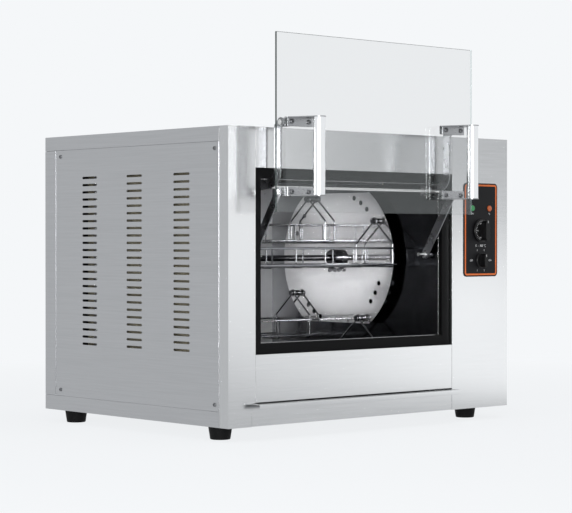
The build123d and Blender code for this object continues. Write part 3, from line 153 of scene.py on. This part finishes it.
def dressed_copy(name, finish, edge=0.0, segments=2):
    """A copy of a CAD node that stands for it, with its edges rounded and its curves smooth."""
    source = frame["nodes"][name]
    piece = bpy.data.objects.new(name + "_dressed", source.data.copy())
    bpy.context.collection.objects.link(piece)
    only(piece)
    bpy.ops.object.mode_set(mode="EDIT")
    bpy.ops.mesh.select_all(action="SELECT")
    bpy.ops.mesh.remove_doubles(threshold=SAME_POINT)
    bpy.ops.mesh.dissolve_limited(angle_limit=SAME_PLANE)
    bpy.ops.object.mode_set(mode="OBJECT")
    if edge:
        bpy.ops.object.modifier_add(type="BEVEL")
        rounding = piece.modifiers[-1]
        rounding.width = edge
        rounding.segments = segments
        rounding.limit_method = "ANGLE"
        rounding.angle_limit = ROUNDED_ABOVE
        bpy.ops.object.modifier_apply(modifier=rounding.name)
    shade(piece)
    piece.data.materials.clear()
    piece.data.materials.append(finish)
    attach(piece, body_of(name))
    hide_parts(name)
    return piece


SHEET_EDGE = 0.4 * MM
# Grain lines are really 0.1 mm apart; 2 mm across and 120 mm long is the finest that shows here.
ACROSS, ALONG = 500, 8
# The same satin steel lies on every sheet; the side sheets' darker colour is painted shade and the front
# sheets' paler colour is painted light.
side_satin_shaded = new_finish("satin stainless, side, darkened as painted shade", "#adaeb0", 1.0, 0.36)
varied(side_satin_shaded, 1.0, (ACROSS, ALONG, ACROSS), rough=(0.33, 0.39), tint=("#a9aaac", "#b1b2b4"))
front_satin_lit = new_finish("satin stainless, front, lightened as painted light", "#b9babb", 1.0, 0.22)
varied(front_satin_lit, 1.0, (ALONG, ACROSS, ACROSS), rough=(0.2, 0.25), tint=("#b6b7b8", "#bcbdbe"))
front_sheets = []
for sheet in ("front_post_left", "front_header", "front_lower_panel", "control_fascia"):
    front_sheets.append(dressed_copy(sheet, front_satin_lit, SHEET_EDGE))
for sheet in ("roof_panel", "side_panel_left", "side_panel_right", "back_panel", "base_tray"):
    dressed_copy(sheet, side_satin_shaded, SHEET_EDGE)

# Side panel screws: cross-head machine screws, cold-headed, their threads rolled, then passivated.
# Small and hard, so they catch sharp points of light; their heads are coloured darker as painted shade, and
# the driver's cross is painted near-black as painted shade.
bright_steel = new_finish("bright rolled stainless", "#dcdcdb", 1.0, 0.2)
varied(bright_steel, 900, rough=(0.16, 0.30))
screw_steel_shaded = new_finish("stainless screw, darkened as painted shade", "#77787a", 1.0, 0.3)
varied(screw_steel_shaded, 900, rough=(0.24, 0.36))
recess_painted_shade = new_finish("painted shade in a driver cross", "#0b0b0c", 0.0, 0.7,
                          Specular_IOR_Level=0.1)
varied(recess_painted_shade, 700, rough=(0.5, 0.7))


CROSS_SLACK = 0.1 * MM


def shade_recess(piece, axis, depth):
    """Gives each screw's cross, cut to a depth from the face of its head, a near-black finish as painted
    shade.
    """
    ends = [face.center[axis] for face in piece.data.polygons]
    lowest, highest = min(ends), max(ends)
    piece.data.materials.append(recess_painted_shade)
    for face in piece.data.polygons:
        below = min(face.center[axis] - lowest, highest - face.center[axis])
        square = abs(face.normal[axis]) < 0.1 or abs(face.normal[axis]) > 0.95
        if square and CROSS_SLACK < below < depth + CROSS_SLACK:
            face.material_index = 1


shade_recess(dressed_copy("side_panel_screws", screw_steel_shaded), 0, 1.0 * MM)

# Feet: black rubber moulded round a steel washer, slightly wider at the top, with a soft lower rim.
# The rubber is matt and shows a faint mould bloom.
rubber = new_finish("moulded nitrile rubber", "#0e0e0f", 0.0, 0.62, Specular_IOR_Level=0.12)
varied(rubber, 350, rough=(0.52, 0.72), tint=("#0a0a0b", "#131314"), bump=0.2)
feet_low, feet_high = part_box("rubber_feet")
FOOT_TOP, FOOT_BOTTOM, FOOT_TALL = 24 * MM, 20 * MM, 26 * MM
FOOT_WALL, FOOT_HOLLOW, FOOT_EDGE = 12 * MM, 5 * MM, 1.6 * MM
for index, (x, y) in enumerate([(x, y) for x in (feet_low[0] + FOOT_TOP, feet_high[0] - FOOT_TOP)
                                for y in (feet_low[1] + FOOT_TOP, feet_high[1] - FOOT_TOP)]):
    bpy.ops.mesh.primitive_cone_add(vertices=64, radius1=FOOT_BOTTOM, radius2=FOOT_TOP, depth=FOOT_TALL,
                                    location=(x, y, FOOT_TALL / 2))
    foot = bpy.context.object
    bpy.ops.object.transform_apply(location=True, rotation=True, scale=True)
    foot.name = f"foot_{index + 1}"
    bpy.ops.object.mode_set(mode="EDIT")
    bpy.ops.mesh.select_mode(type="FACE")
    bpy.ops.mesh.select_all(action="DESELECT")
    bpy.ops.object.mode_set(mode="OBJECT")
    for face in foot.data.polygons:
        face.select = face.normal.z < -0.9
    bpy.ops.object.mode_set(mode="EDIT")
    bpy.ops.mesh.inset(thickness=FOOT_WALL)
    bpy.ops.mesh.extrude_region_move(TRANSFORM_OT_translate={"value": (0, 0, FOOT_HOLLOW)})
    bpy.ops.object.mode_set(mode="OBJECT")
    bpy.ops.object.modifier_add(type="BEVEL")
    foot.modifiers[-1].width = FOOT_EDGE
    foot.modifiers[-1].segments = 3
    foot.modifiers[-1].limit_method = "ANGLE"
    foot.modifiers[-1].angle_limit = radians(50)
    bpy.ops.object.modifier_apply(modifier=foot.modifiers[-1].name)
    shade(foot)
    foot.data.materials.append(rubber)
    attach(foot, "cabinet")
    if index == 0:
        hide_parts("rubber_feet")

# Oven liner: stainless, bright-annealed and rolled smooth, so it mirrors the wires and the dark oven; its
# dark colour is painted shade.
# The ceiling, the back and the left wall have been dulled by heat, and their pale, partly diffuse colour is
# painted light; the tray's pan keeps the liner's dark shine.
liner = new_finish("bright-annealed stainless, darkened as painted shade", "#3c3d40", 1.0, 0.16)
varied(liner, 30, rough=(0.12, 0.22), tint=("#383a3c", "#414245"))
pale_lit_liner = new_finish("heat-dulled stainless, paled as painted light", "#d2d2d3", 0.3, 0.3)
varied(pale_lit_liner, 30, rough=(0.27, 0.34), tint=("#cdcdce", "#d7d7d8"))
# The right wall's colour is graded as painted shade: darkened towards the door, with its rear edge paler.
wall_shade_graded = new_finish("stainless, graded as painted shade", "#77787b", 1.0, 0.16)
varied(wall_shade_graded, 30, rough=(0.12, 0.22))
tree = wall_shade_graded.node_tree
place = node(tree, "ShaderNodeTexCoord")
apart = node(tree, "ShaderNodeSeparateXYZ", {}, {0: place.outputs["Object"]})
SHADE_DARK_TO, SHADE_PALE_FROM = 50 * MM, 240 * MM
fade = node(tree, "ShaderNodeMapRange", {"From Min": SHADE_DARK_TO, "From Max": SHADE_PALE_FROM},
            {"Value": apart.outputs["Y"]})
shade_ramp = node(tree, "ShaderNodeValToRGB", {}, {"Fac": fade.outputs["Result"]})
shade_ramp.color_ramp.elements[0].color = linear("#3c3d40")
shade_ramp.color_ramp.elements[1].color = linear("#909194")
tree.links.new(shade_ramp.outputs["Color"], tree.nodes["Principled BSDF"].inputs["Base Color"])
dressed_copy("cavity_wall_right", wall_shade_graded)
oven_sheets = []
for sheet in ("cavity_ceiling", "cavity_back_wall", "cavity_wall_left"):
    oven_sheets.append(dressed_copy(sheet, pale_lit_liner))

# Insulation: mineral wool blankets, cut to size and pressed against the liner.
# Matted fibres make a pale, rough surface.
wool = new_finish("mineral wool", "#cfc7ad", 0.0, 0.95)
varied(wool, 180, (1, 1, 3), tint=("#bdb394", "#dcd6c2"), bump=0.6, depth=0.0015, detail=8)
dress(wool, "insulation_blankets")

# Runners, clips, brackets and shaft collars: zinc-plated mild steel, pressed or turned, then
# spot-welded or screwed in place. Thin plating gives a dull, cloudy spangle.
zinc = new_finish("zinc-plated steel", "#a9adb0", 1.0, 0.45)
varied(zinc, 260, rough=(0.36, 0.55), tint=("#9fa4a8", "#b4b8ba"))
for name in ("tray_runners", "heater_clips", "motor_bracket", "shaft_collars"):
    dressed_copy(name, zinc)

# Heaters: nickel alloy tubes packed with magnesia, bent to a hairpin and held by the zinc clips.
# Red heat has oxidised them to a dark, matt brown.
sheath = new_finish("oxidised nickel alloy", "#4a4540", 1.0, 0.5)
varied(sheath, 120, rough=(0.42, 0.6), tint=("#3b3733", "#5b544c"))
for name in ("heater_upper", "heater_lower"):
    dressed_copy(name, sheath)

# Drip tray: a folded pan of liner steel, dark as painted shade, spot-welded behind a satin front.
# The front's top edge is pulled forward into a grip that catches the light as a bright line.
dressed_copy("drip_tray_pan", liner, SHEET_EDGE)
front_sheets.append(dressed_copy("drip_tray_front", front_satin_lit, SHEET_EDGE))

# Door seal: extruded silicone profile, mitred at the corners and pushed on to the edge of the opening.
# It's deep black and nearly matt, with a soft rounded shoulder.
silicone = new_finish("extruded silicone", "#060607", 0.0, 0.5, Specular_IOR_Level=0.1)
varied(silicone, 500, rough=(0.42, 0.58))
dressed_copy("door_seal", silicone, 2.2 * MM, 3)

# Door arms: stainless flat bar, cut, bent and drilled, on turned pins; a round tie rod joins the two sides.
# Grain along the bar draws its highlight out into long streaks.
bar_steel = new_finish("ground stainless bar", "#838486", 1.0, 0.28)
varied(bar_steel, 1.0, (ACROSS, 60, 60), rough=(0.26, 0.3))
for name in ("lower_arm_left", "lower_arm_right", "upper_arm_left", "upper_arm_right"):
    dressed_copy(name, bar_steel, 0.5 * MM)
for name in ("tie_rod", "arm_pivot_pins", "door_hinge_pins"):
    dressed_copy(name, bright_steel)

# Door glass: 5 mm clear toughened float, its edges ground flat and arrissed.
# The pane lets the oven through under a faint veil; its ground edges show the green of the glass, with
# painted shade on the near edges and a painted highlight on the far edge.
pane = new_finish("toughened float glass", "#b2b6b6", 1.0, 0.02, Alpha=0.1)
varied(pane, 3, rough=(0.01, 0.03))
glass_edge_shaded = new_finish("ground glass edge", "#2f3a39", 0.0, 0.35, Alpha=0.9, Specular_IOR_Level=0.2)
varied(glass_edge_shaded, 700, rough=(0.28, 0.42))
glass_edge_lit = new_finish("ground glass edge seen through the pane, painted bright", "#b9d2d2", 0.0, 0.35, Alpha=0.35)
varied(glass_edge_lit, 700, rough=(0.28, 0.42))
glass = dressed_copy("door_glass", pane, 0.7 * MM, 1)
glass.data.materials.append(glass_edge_shaded)
glass.data.materials.append(glass_edge_lit)
# Edge faces on the camera's side get the painted-dark edge; those on the far side get the painted-bright
# edge.
for face in glass.data.polygons:
    if abs(face.normal.y) < 0.9:
        at_far_side = face.normal.x > 0.5
        face.material_index = 2 if at_far_side else 1

# Handles: thin stainless tube polished along its length, between laser-cut brackets that are screwed
# through the glass. The tube shows one clean white band; the brackets are greyer, with cross-head screws.
tube_steel = new_finish("polished stainless tube", "#eff0f1", 1.0, 0.22)
varied(tube_steel, 1.0, (160, 160, 12), rough=(0.2, 0.24))
plate_steel = new_finish("laser-cut stainless plate", "#a3a4a6", 1.0, 0.28)
varied(plate_steel, 1.0, (60, 300, 300), rough=(0.25, 0.32))
for name in ("door_handle_left", "door_handle_right"):
    dressed_copy(name, tube_steel)
for name in ("handle_brackets", "hinge_lugs"):
    dressed_copy(name, plate_steel, 0.3 * MM)
dressed_copy("door_cap_nuts", bright_steel)
# The door screws take the same darkened heads and near-black crosses, as painted shade.
shade_recess(dressed_copy("door_screws", screw_steel_shaded), 1, 1.2 * MM)

# Rotor discs: 2 mm stainless, cut by laser and polished on a wheel, so the rub marks run round the centre.
# The right one mirrors the back and left walls of the oven.
disc_steel = new_finish("wheel-polished stainless", "#ececed", 0.95, 0.08)
disc_low, disc_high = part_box("rotor_disc_right")
AXIS = ((disc_low[1] + disc_high[1]) / 2, (disc_low[2] + disc_high[2]) / 2)
tree = disc_steel.node_tree
place = node(tree, "ShaderNodeTexCoord")
centred = node(tree, "ShaderNodeMapping", {"Location": (0, -AXIS[0], -AXIS[1])},
               {"Vector": place.outputs["Object"]})
rings = node(tree, "ShaderNodeTexWave", {"wave_type": "RINGS", "rings_direction": "X", "Scale": 160,
                                         "Distortion": 2.0, "Detail": 2.0},
             {"Vector": centred.outputs["Vector"]})
rubbed = node(tree, "ShaderNodeMapRange", {"To Min": 0.06, "To Max": 0.11},
              {"Value": rings.outputs["Fac"]})
tree.links.new(rubbed.outputs["Result"], tree.nodes["Principled BSDF"].inputs["Roughness"])
for name in ("rotor_disc_left", "rotor_disc_right"):
    oven_sheets.append(dressed_copy(name, disc_steel, 0.3 * MM))

# Shaft, hubs, thumb screws and basket pins: turned from bar; their dark colour is painted shade, standing in
# for the dark oven that they mirror.
# The turned skin is smooth, so it still holds one sharp line of light.
turned_steel_shaded = new_finish("turned steel, darkened as painted shade", "#57575a", 1.0, 0.14)
varied(turned_steel_shaded, 400, rough=(0.1, 0.2), tint=("#4e4e51", "#616164"))
for name in ("rotor_shaft", "disc_hubs", "basket_pins"):
    dressed_copy(name, turned_steel_shaded)
knurled_steel_shaded = new_finish("knurled steel, darkened as painted shade", "#434345", 1.0, 0.36)
varied(knurled_steel_shaded, 700, rough=(0.3, 0.44))
dressed_copy("hub_thumb_screws", knurled_steel_shaded)

# Shaft bushes: sintered bronze, pressed into the liner and soaked in oil.
# The pores make a dull gold with a fine speckle.
bronze = new_finish("sintered bronze", "#9c7a3e", 1.0, 0.4)
varied(bronze, 900, rough=(0.3, 0.5), tint=("#8c6c35", "#ad8849"))
dressed_copy("shaft_bushes", bronze)

# Baskets: bent steel wire, spot-welded and chromed, hung by eyes from the pins of the two discs.
# Each wire draws one bright line beside a dark one.
chrome_wire = new_finish("chromed wire", "#a4a5a8", 1.0, 0.12)
varied(chrome_wire, 200, rough=(0.08, 0.18))
for number in range(1, 5):
    dressed_copy(f"basket_{number}", chrome_wire)

# Gear motor: a die-cast gearbox with a round motor, bolted to its bracket behind the fascia.
# Black stoved enamel, with a slight orange peel.
enamel = new_finish("black stoved enamel", "#1d1d1f", 0.0, 0.35)
varied(enamel, 500, rough=(0.28, 0.42), bump=0.15)
dressed_copy("gear_motor", enamel, 0.8 * MM)

# Control panel: a black polycarbonate plate, fine-grained, held by the controls that pass through it.
# An orange border line and white marks are screen-printed, and stand a hair proud of the grain.
printed = new_finish("black printed polycarbonate", "#161618", 0.0, 0.42, Specular_IOR_Level=0.15)
varied(printed, 1500, rough=(0.36, 0.48), bump=0.1)
dressed_copy("control_panel", printed, 0.4 * MM)
ORANGE, WHITE = "#e87332", "#e9e9e9"
orange_ink = new_finish("orange screen ink", ORANGE, 0.0, 0.5)
varied(orange_ink, 800, tint=("#e46f2f", "#ec7836"))
white_ink = new_finish("white screen ink", WHITE, 0.0, 0.5)
varied(white_ink, 800, tint=("#e2e2e2", "#efefef"))
panel_low, panel_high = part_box("control_panel")
PANEL_X = (panel_low[0] + panel_high[0]) / 2
PANEL_FRONT = panel_low[1]
INK = 0.08 * MM


def rounded_outline(half_x, half_z, radius, steps=8):
    """Points round a rectangle with rounded corners, about the origin."""
    points = []
    for turn, (sx, sz) in enumerate(((1, 1), (-1, 1), (-1, -1), (1, -1))):
        for step in range(steps + 1):
            angle = pi / 2 * (turn + step / steps)
            x = sx * (half_x - radius) + radius * cos(angle)
            z = sz * (half_z - radius) + radius * sin(angle)
            points.append((x, z))
    return points


BORDER_INSET, BORDER_WIDTH = 3 * MM, 3.6 * MM
OUTER_CORNER, INNER_CORNER = 6 * MM, 3 * MM
half_x = (panel_high[0] - panel_low[0]) / 2 - BORDER_INSET
half_z = (panel_high[2] - panel_low[2]) / 2 - BORDER_INSET
PANEL_Z = (panel_low[2] + panel_high[2]) / 2
outer = rounded_outline(half_x, half_z, OUTER_CORNER)
inner = rounded_outline(half_x - BORDER_WIDTH, half_z - BORDER_WIDTH, INNER_CORNER)
count = len(outer)


def printed_sheet(name, corners, faces, body, finish):
    """A flat layer of ink given by its outline, made as thick as a screen print."""
    layer = bpy.data.meshes.new(name)
    layer.from_pydata(corners, [], faces)
    piece = bpy.data.objects.new(name, layer)
    bpy.context.collection.objects.link(piece)
    only(piece)
    bpy.ops.object.modifier_add(type="SOLIDIFY")
    piece.modifiers[-1].thickness = INK
    piece.modifiers[-1].offset = 0
    bpy.ops.object.modifier_apply(modifier=piece.modifiers[-1].name)
    piece.data.materials.append(finish)
    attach(piece, body)


printed_sheet("panel_border", [(PANEL_X + x, PANEL_FRONT - INK, PANEL_Z + z) for x, z in outer + inner],
              [(i, (i + 1) % count, count + (i + 1) % count, count + i) for i in range(count)],
              "cabinet", orange_ink)


# A capital of Blender's own font is this share of the size that it's set in.
SIZE_PER_HEIGHT = 1.4


def lettering(name, words, body, front, finish):
    """Printed words: a list of text, place and height, joined into one thin mesh."""
    made = []
    for text, x, z, height in words:
        bpy.ops.object.text_add(location=(x, front - INK, z), rotation=(pi / 2, 0, 0))
        letter = bpy.context.object
        letter.data.body = text
        letter.data.size = height * SIZE_PER_HEIGHT
        letter.data.align_x = "CENTER"
        letter.data.align_y = "CENTER"
        letter.data.extrude = INK / 2
        bpy.ops.object.convert(target="MESH")
        bpy.ops.object.transform_apply(location=True, rotation=True, scale=True)
        made.append(bpy.context.object)
    bpy.ops.object.select_all(action="DESELECT")
    for letter in made:
        letter.select_set(True)
    bpy.context.view_layer.objects.active = made[0]
    if len(made) > 1:
        bpy.ops.object.join()
    piece = bpy.context.object
    piece.name = name
    piece.data.materials.clear()
    piece.data.materials.append(finish)
    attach(piece, body)


knob_low, knob_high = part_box("thermostat_knob")
KNOB_Z = (knob_low[2] + knob_high[2]) / 2
selector_low, selector_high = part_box("selector_knob")
SELECTOR_Z = (selector_low[2] + selector_high[2]) / 2
lamp_low, lamp_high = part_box("lamp_green")
LAMP_Z = (lamp_low[2] + lamp_high[2]) / 2
LAMP_X = (lamp_low[0] + lamp_high[0]) / 2
SMALL_PRINT, LARGE_PRINT = 4 * MM, 5 * MM
BELOW_LAMP, BELOW_DIAL = 12 * MM, 33 * MM
SWITCH_SIDE, SWITCH_PAIR, SWITCH_ROW = 30 * MM, 11 * MM, 22 * MM
lettering("panel_marks", [
    ("ON", LAMP_X, LAMP_Z - BELOW_LAMP, SMALL_PRINT),
    ("°C", 2 * PANEL_X - LAMP_X, LAMP_Z - BELOW_LAMP, SMALL_PRINT),
    ("0  -  300 °C", PANEL_X, KNOB_Z - BELOW_DIAL, LARGE_PRINT),
    ("OFF", PANEL_X - SWITCH_SIDE, SELECTOR_Z, SMALL_PRINT),
    ("ON", PANEL_X + SWITCH_SIDE, SELECTOR_Z, SMALL_PRINT),
    ("I", PANEL_X - SWITCH_PAIR, SELECTOR_Z + SWITCH_ROW, SMALL_PRINT),
    ("II", PANEL_X + SWITCH_PAIR, SELECTOR_Z + SWITCH_ROW, SMALL_PRINT),
    ("1", PANEL_X - SWITCH_PAIR, SELECTOR_Z - SWITCH_ROW, SMALL_PRINT),
    ("2", PANEL_X + SWITCH_PAIR, SELECTOR_Z - SWITCH_ROW, SMALL_PRINT),
], "cabinet", PANEL_FRONT, white_ink)

# Knobs: moulded phenolic, pushed on to D-shaped spindles, with a white pointer line on each grip.
# A low sheen picks out the rim, and the thermostat's skirt carries ticks and numbers.
phenolic = new_finish("moulded phenolic", "#0a0a0b", 0.0, 0.34, Specular_IOR_Level=0.25)
varied(phenolic, 600, rough=(0.28, 0.42))
dressed_copy("thermostat_knob", phenolic, 0.6 * MM)
dressed_copy("selector_knob", phenolic, 0.6 * MM)
SKIRT_FRONT = PANEL_FRONT - 7.3 * MM
DIAL_START, NUMBER_TURN, TICK_TURN, TICKS = -150, 60, 10, 31
NUMBER_STEP, NUMBER_HEIGHT, NUMBER_RING = 50, 2.6 * MM, 17.5 * MM
dial = []
for step in range(1, 7):
    angle = radians(NUMBER_TURN * step + DIAL_START)
    dial.append((str(NUMBER_STEP * step), PANEL_X + NUMBER_RING * sin(angle),
                 KNOB_Z + NUMBER_RING * cos(angle), NUMBER_HEIGHT))
lettering("dial_numbers", dial, "thermostat_knob", SKIRT_FRONT, white_ink)
TICK_IN, TICK_OUT, TICK_HALF, TICK_RAISE = 20.2 * MM, 22.6 * MM, 0.35 * MM, 0.1 * MM
corners, quads = [], []
for step in range(TICKS):
    angle = radians(TICK_TURN * step + DIAL_START)
    for reach, side in ((TICK_IN, -TICK_HALF), (TICK_IN, TICK_HALF), (TICK_OUT, TICK_HALF),
                        (TICK_OUT, -TICK_HALF)):
        corners.append((PANEL_X + reach * sin(angle) + side * cos(angle), SKIRT_FRONT - TICK_RAISE,
                        KNOB_Z + reach * cos(angle) - side * sin(angle)))
    quads.append([4 * step + corner for corner in range(4)])
printed_sheet("dial_ticks", corners, quads, "thermostat_knob", white_ink)
POINTER_WIDE, POINTER_TALL, POINTER_BELOW_RIM, POINTER_EDGE = 1.0 * MM, 5 * MM, 6 * MM, 0.02 * MM
for knob, low, high in (("thermostat_knob", knob_low, knob_high),
                        ("selector_knob", selector_low, selector_high)):
    pointer_at = (PANEL_X, low[1] - INK / 2, high[2] - POINTER_BELOW_RIM)
    bpy.ops.mesh.primitive_cube_add(size=1, location=pointer_at)
    pointer = bpy.context.object
    pointer.scale = (POINTER_WIDE, INK, POINTER_TALL)
    bpy.ops.object.transform_apply(location=True, rotation=True, scale=True)
    bpy.ops.object.mode_set(mode="EDIT")
    bpy.ops.mesh.bevel(offset=POINTER_EDGE, segments=1)
    bpy.ops.object.mode_set(mode="OBJECT")
    pointer.name = knob + "_pointer"
    pointer.data.materials.append(white_ink)
    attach(pointer, knob)

# Lamps: domed acrylic lenses, one green and one orange, snapped into the plate.
# They're unlit, so only a small highlight sits on each dome.
for colour, code in (("green", "#1f8f4a"), ("orange", "#b9561c")):
    lens = new_finish(colour + " acrylic", code, 0.0, 0.15, Coat_Weight=0.4)
    varied(lens, 300, rough=(0.1, 0.2))
    dressed_copy("lamp_" + colour, lens)

# Works behind the fascia: the thermostat with its capillary and bulb, zinc-plated, the enamelled switch,
# and the ceramic terminal block, pale and chalky.
dressed_copy("thermostat_body", zinc)
dressed_copy("selector_switch", enamel, 0.5 * MM)
ceramic = new_finish("steatite ceramic", "#d9d4c4", 0.0, 0.55)
varied(ceramic, 300, rough=(0.45, 0.65), tint=("#d2ccba", "#e0dccd"))
dressed_copy("terminal_block", ceramic, 0.5 * MM)

# Cable gland: black nylon, moulded, with a hexagon at each side of the back sheet.
# The skin of the moulding is even and slightly waxy.
nylon = new_finish("moulded nylon", "#141415", 0.0, 0.45)
varied(nylon, 500, rough=(0.38, 0.52))
dressed_copy("cable_gland", nylon, 0.4 * MM)

# Studio: a pale painted floor that runs out into a pale paper background, and soft boxes round it.
# The floor keeps a faint shadow near the feet; further out it gives way to the plain tone of the paper,
# so that no horizon shows.
PALE = "#f5f7f9"


def seen_straight(tree):
    """One for what the camera sees, directly, through glass or in bright metal; nought for stray light."""
    ray = node(tree, "ShaderNodeLightPath")
    either = node(tree, "ShaderNodeMath", {"operation": "MAXIMUM"},
                  {0: ray.outputs["Is Camera Ray"], 1: ray.outputs["Is Transmission Ray"]})
    any_of = node(tree, "ShaderNodeMath", {"operation": "MAXIMUM"},
                  {0: either.outputs[0], 1: ray.outputs["Is Glossy Ray"]})
    return any_of.outputs[0]


FLOOR_SIDE = 60
bpy.ops.mesh.primitive_plane_add(size=FLOOR_SIDE, location=(0, 0, 0))
floor = bpy.context.object
floor.name = "floor"
floor_paint = bpy.data.materials.new("pale floor paint")
floor_paint.use_nodes = True
tree = floor_paint.node_tree
tree.nodes.clear()
SHADOW_SHARE, SHADOW_NEAR, SHADOW_FAR = 0.12, 0.9, 2.2
place = node(tree, "ShaderNodeTexCoord")
away = node(tree, "ShaderNodeVectorMath", {"operation": "LENGTH"}, {0: place.outputs["Object"]})
near = node(tree, "ShaderNodeMapRange", {"From Min": SHADOW_NEAR, "From Max": SHADOW_FAR,
                                         "To Min": SHADOW_SHARE, "To Max": 0.0},
            {"Value": away.outputs["Value"]})
paint = node(tree, "ShaderNodeBsdfDiffuse", {"Color": linear(PALE)})
paper = node(tree, "ShaderNodeEmission", {"Color": linear(PALE), "Strength": 1.0})
worn = node(tree, "ShaderNodeMath", {"operation": "SUBTRACT", 0: 1.0}, {1: near.outputs["Result"]})
share = node(tree, "ShaderNodeMath", {"operation": "MULTIPLY"}, {0: worn.outputs[0], 1: seen_straight(tree)})
mixed = node(tree, "ShaderNodeMixShader", {},
             {"Fac": share.outputs[0], 1: paint.outputs[0], 2: paper.outputs[0]})
node(tree, "ShaderNodeOutputMaterial", {}, {"Surface": mixed.outputs[0]})
floor.data.materials.append(floor_paint)

STRAY_LIGHT = 0.45
world = bpy.data.worlds.new("studio")
bpy.context.scene.world = world
world.use_nodes = True
tree = world.node_tree
tree.nodes.clear()
level = node(tree, "ShaderNodeMapRange", {"To Min": STRAY_LIGHT, "To Max": 1.0},
             {"Value": seen_straight(tree)})
sky = node(tree, "ShaderNodeBackground", {"Color": linear(PALE)}, {"Strength": level.outputs["Result"]})
node(tree, "ShaderNodeOutputWorld", {}, {"Surface": sky.outputs[0]})


# A soft box keeps its full strength within the first distance from its middle, and fades out by the second.
FULL_WITHIN, DARK_BEYOND = 0.25, 0.5


def softbox(name, place, aim, width, height, power, lights=None):
    """A rectangular soft box aimed at a point, which lights every piece, or only those given."""
    lamp = bpy.data.lights.new(name, "AREA")
    lamp.shape = "RECTANGLE"
    lamp.size = width
    lamp.size_y = height
    lamp.energy = power
    lamp.use_nodes = True
    tree = lamp.node_tree
    spot = node(tree, "ShaderNodeNewGeometry")
    centred = node(tree, "ShaderNodeVectorMath", {"operation": "SUBTRACT", 1: (0.5, 0.5, 0)},
                   {0: spot.outputs["Parametric"]})
    off = node(tree, "ShaderNodeVectorMath", {"operation": "LENGTH"}, {0: centred.outputs["Vector"]})
    soft = node(tree, "ShaderNodeMapRange", {"interpolation_type": "SMOOTHSTEP", "From Min": FULL_WITHIN,
                                             "From Max": DARK_BEYOND, "To Min": 1.0, "To Max": 0.0},
                {"Value": off.outputs["Value"]})
    tree.links.new(soft.outputs["Result"], tree.nodes["Emission"].inputs["Strength"])
    box = bpy.data.objects.new(name, lamp)
    bpy.context.collection.objects.link(box)
    box.location = place
    box.rotation_euler = (Vector(aim) - Vector(place)).to_track_quat("-Z", "Y").to_euler()
    box.visible_camera = False
    if lights:
        lit = bpy.data.collections.new(name)
        for piece in lights:
            lit.objects.link(piece)
        box.light_linking.receiver_collection = lit


# The front mirrors what stands to its right: a strip in the post, a low box in the fascia, and in
# its foot the floor, which a faint glow brightens.
softbox("post strip", place=(1.5, -2.5, 0.55), aim=(1.5, 0, 0.55), width=0.9, height=1.6, power=5,
        lights=front_sheets)
softbox("low box", place=(2.75, -2.5, 0.05), aim=(2.75, 0, 0.05), width=1.6, height=1.0, power=6.5,
        lights=front_sheets)
softbox("floor glow", place=(1.8, -1.1, 0.002), aim=(1.8, -1.1, 1.0), width=3.0, height=3.0, power=27,
        lights=front_sheets)
# This one shines through the opening on to the liner and the discs.
softbox("oven box", place=(1.8, -2.5, 0.4), aim=(-0.2, 0, 0.35), width=1.4, height=1.2, power=60,
        lights=oven_sheets)
# These two light the whole object, from beside the camera and from above.
softbox("camera box", place=(-2.3, -2.2, 0.6), aim=(0.1, 0, 0.35), width=1.0, height=1.0, power=100)
softbox("top box", place=(0, -0.2, 2.6), aim=(0, 0, 0.3), width=2.0, height=2.0, power=50)

# Camera: a long lens at the photographer's place in front and to the left, level with the door.
# Its height and heading were fitted to the corners of the cabinet in the photograph.
SENSOR, IMAGE_WIDTH, FOCAL_PIXELS = 36.0, 572, 1900.4
YAW, PITCH = 41.96, 0.46
STANDPOINT = (-2.7812, -3.0621, 0.390)
lens = bpy.data.cameras.new("camera")
lens.sensor_fit = "HORIZONTAL"
lens.sensor_width = SENSOR
lens.lens = SENSOR * FOCAL_PIXELS / IMAGE_WIDTH
camera = bpy.data.objects.new("camera", lens)
bpy.context.collection.objects.link(camera)
camera.location = STANDPOINT
camera.rotation_euler = (radians(90 - PITCH), 0, radians(-YAW))
bpy.context.scene.camera = camera
bpy.context.scene.view_settings.view_transform = "Standard"
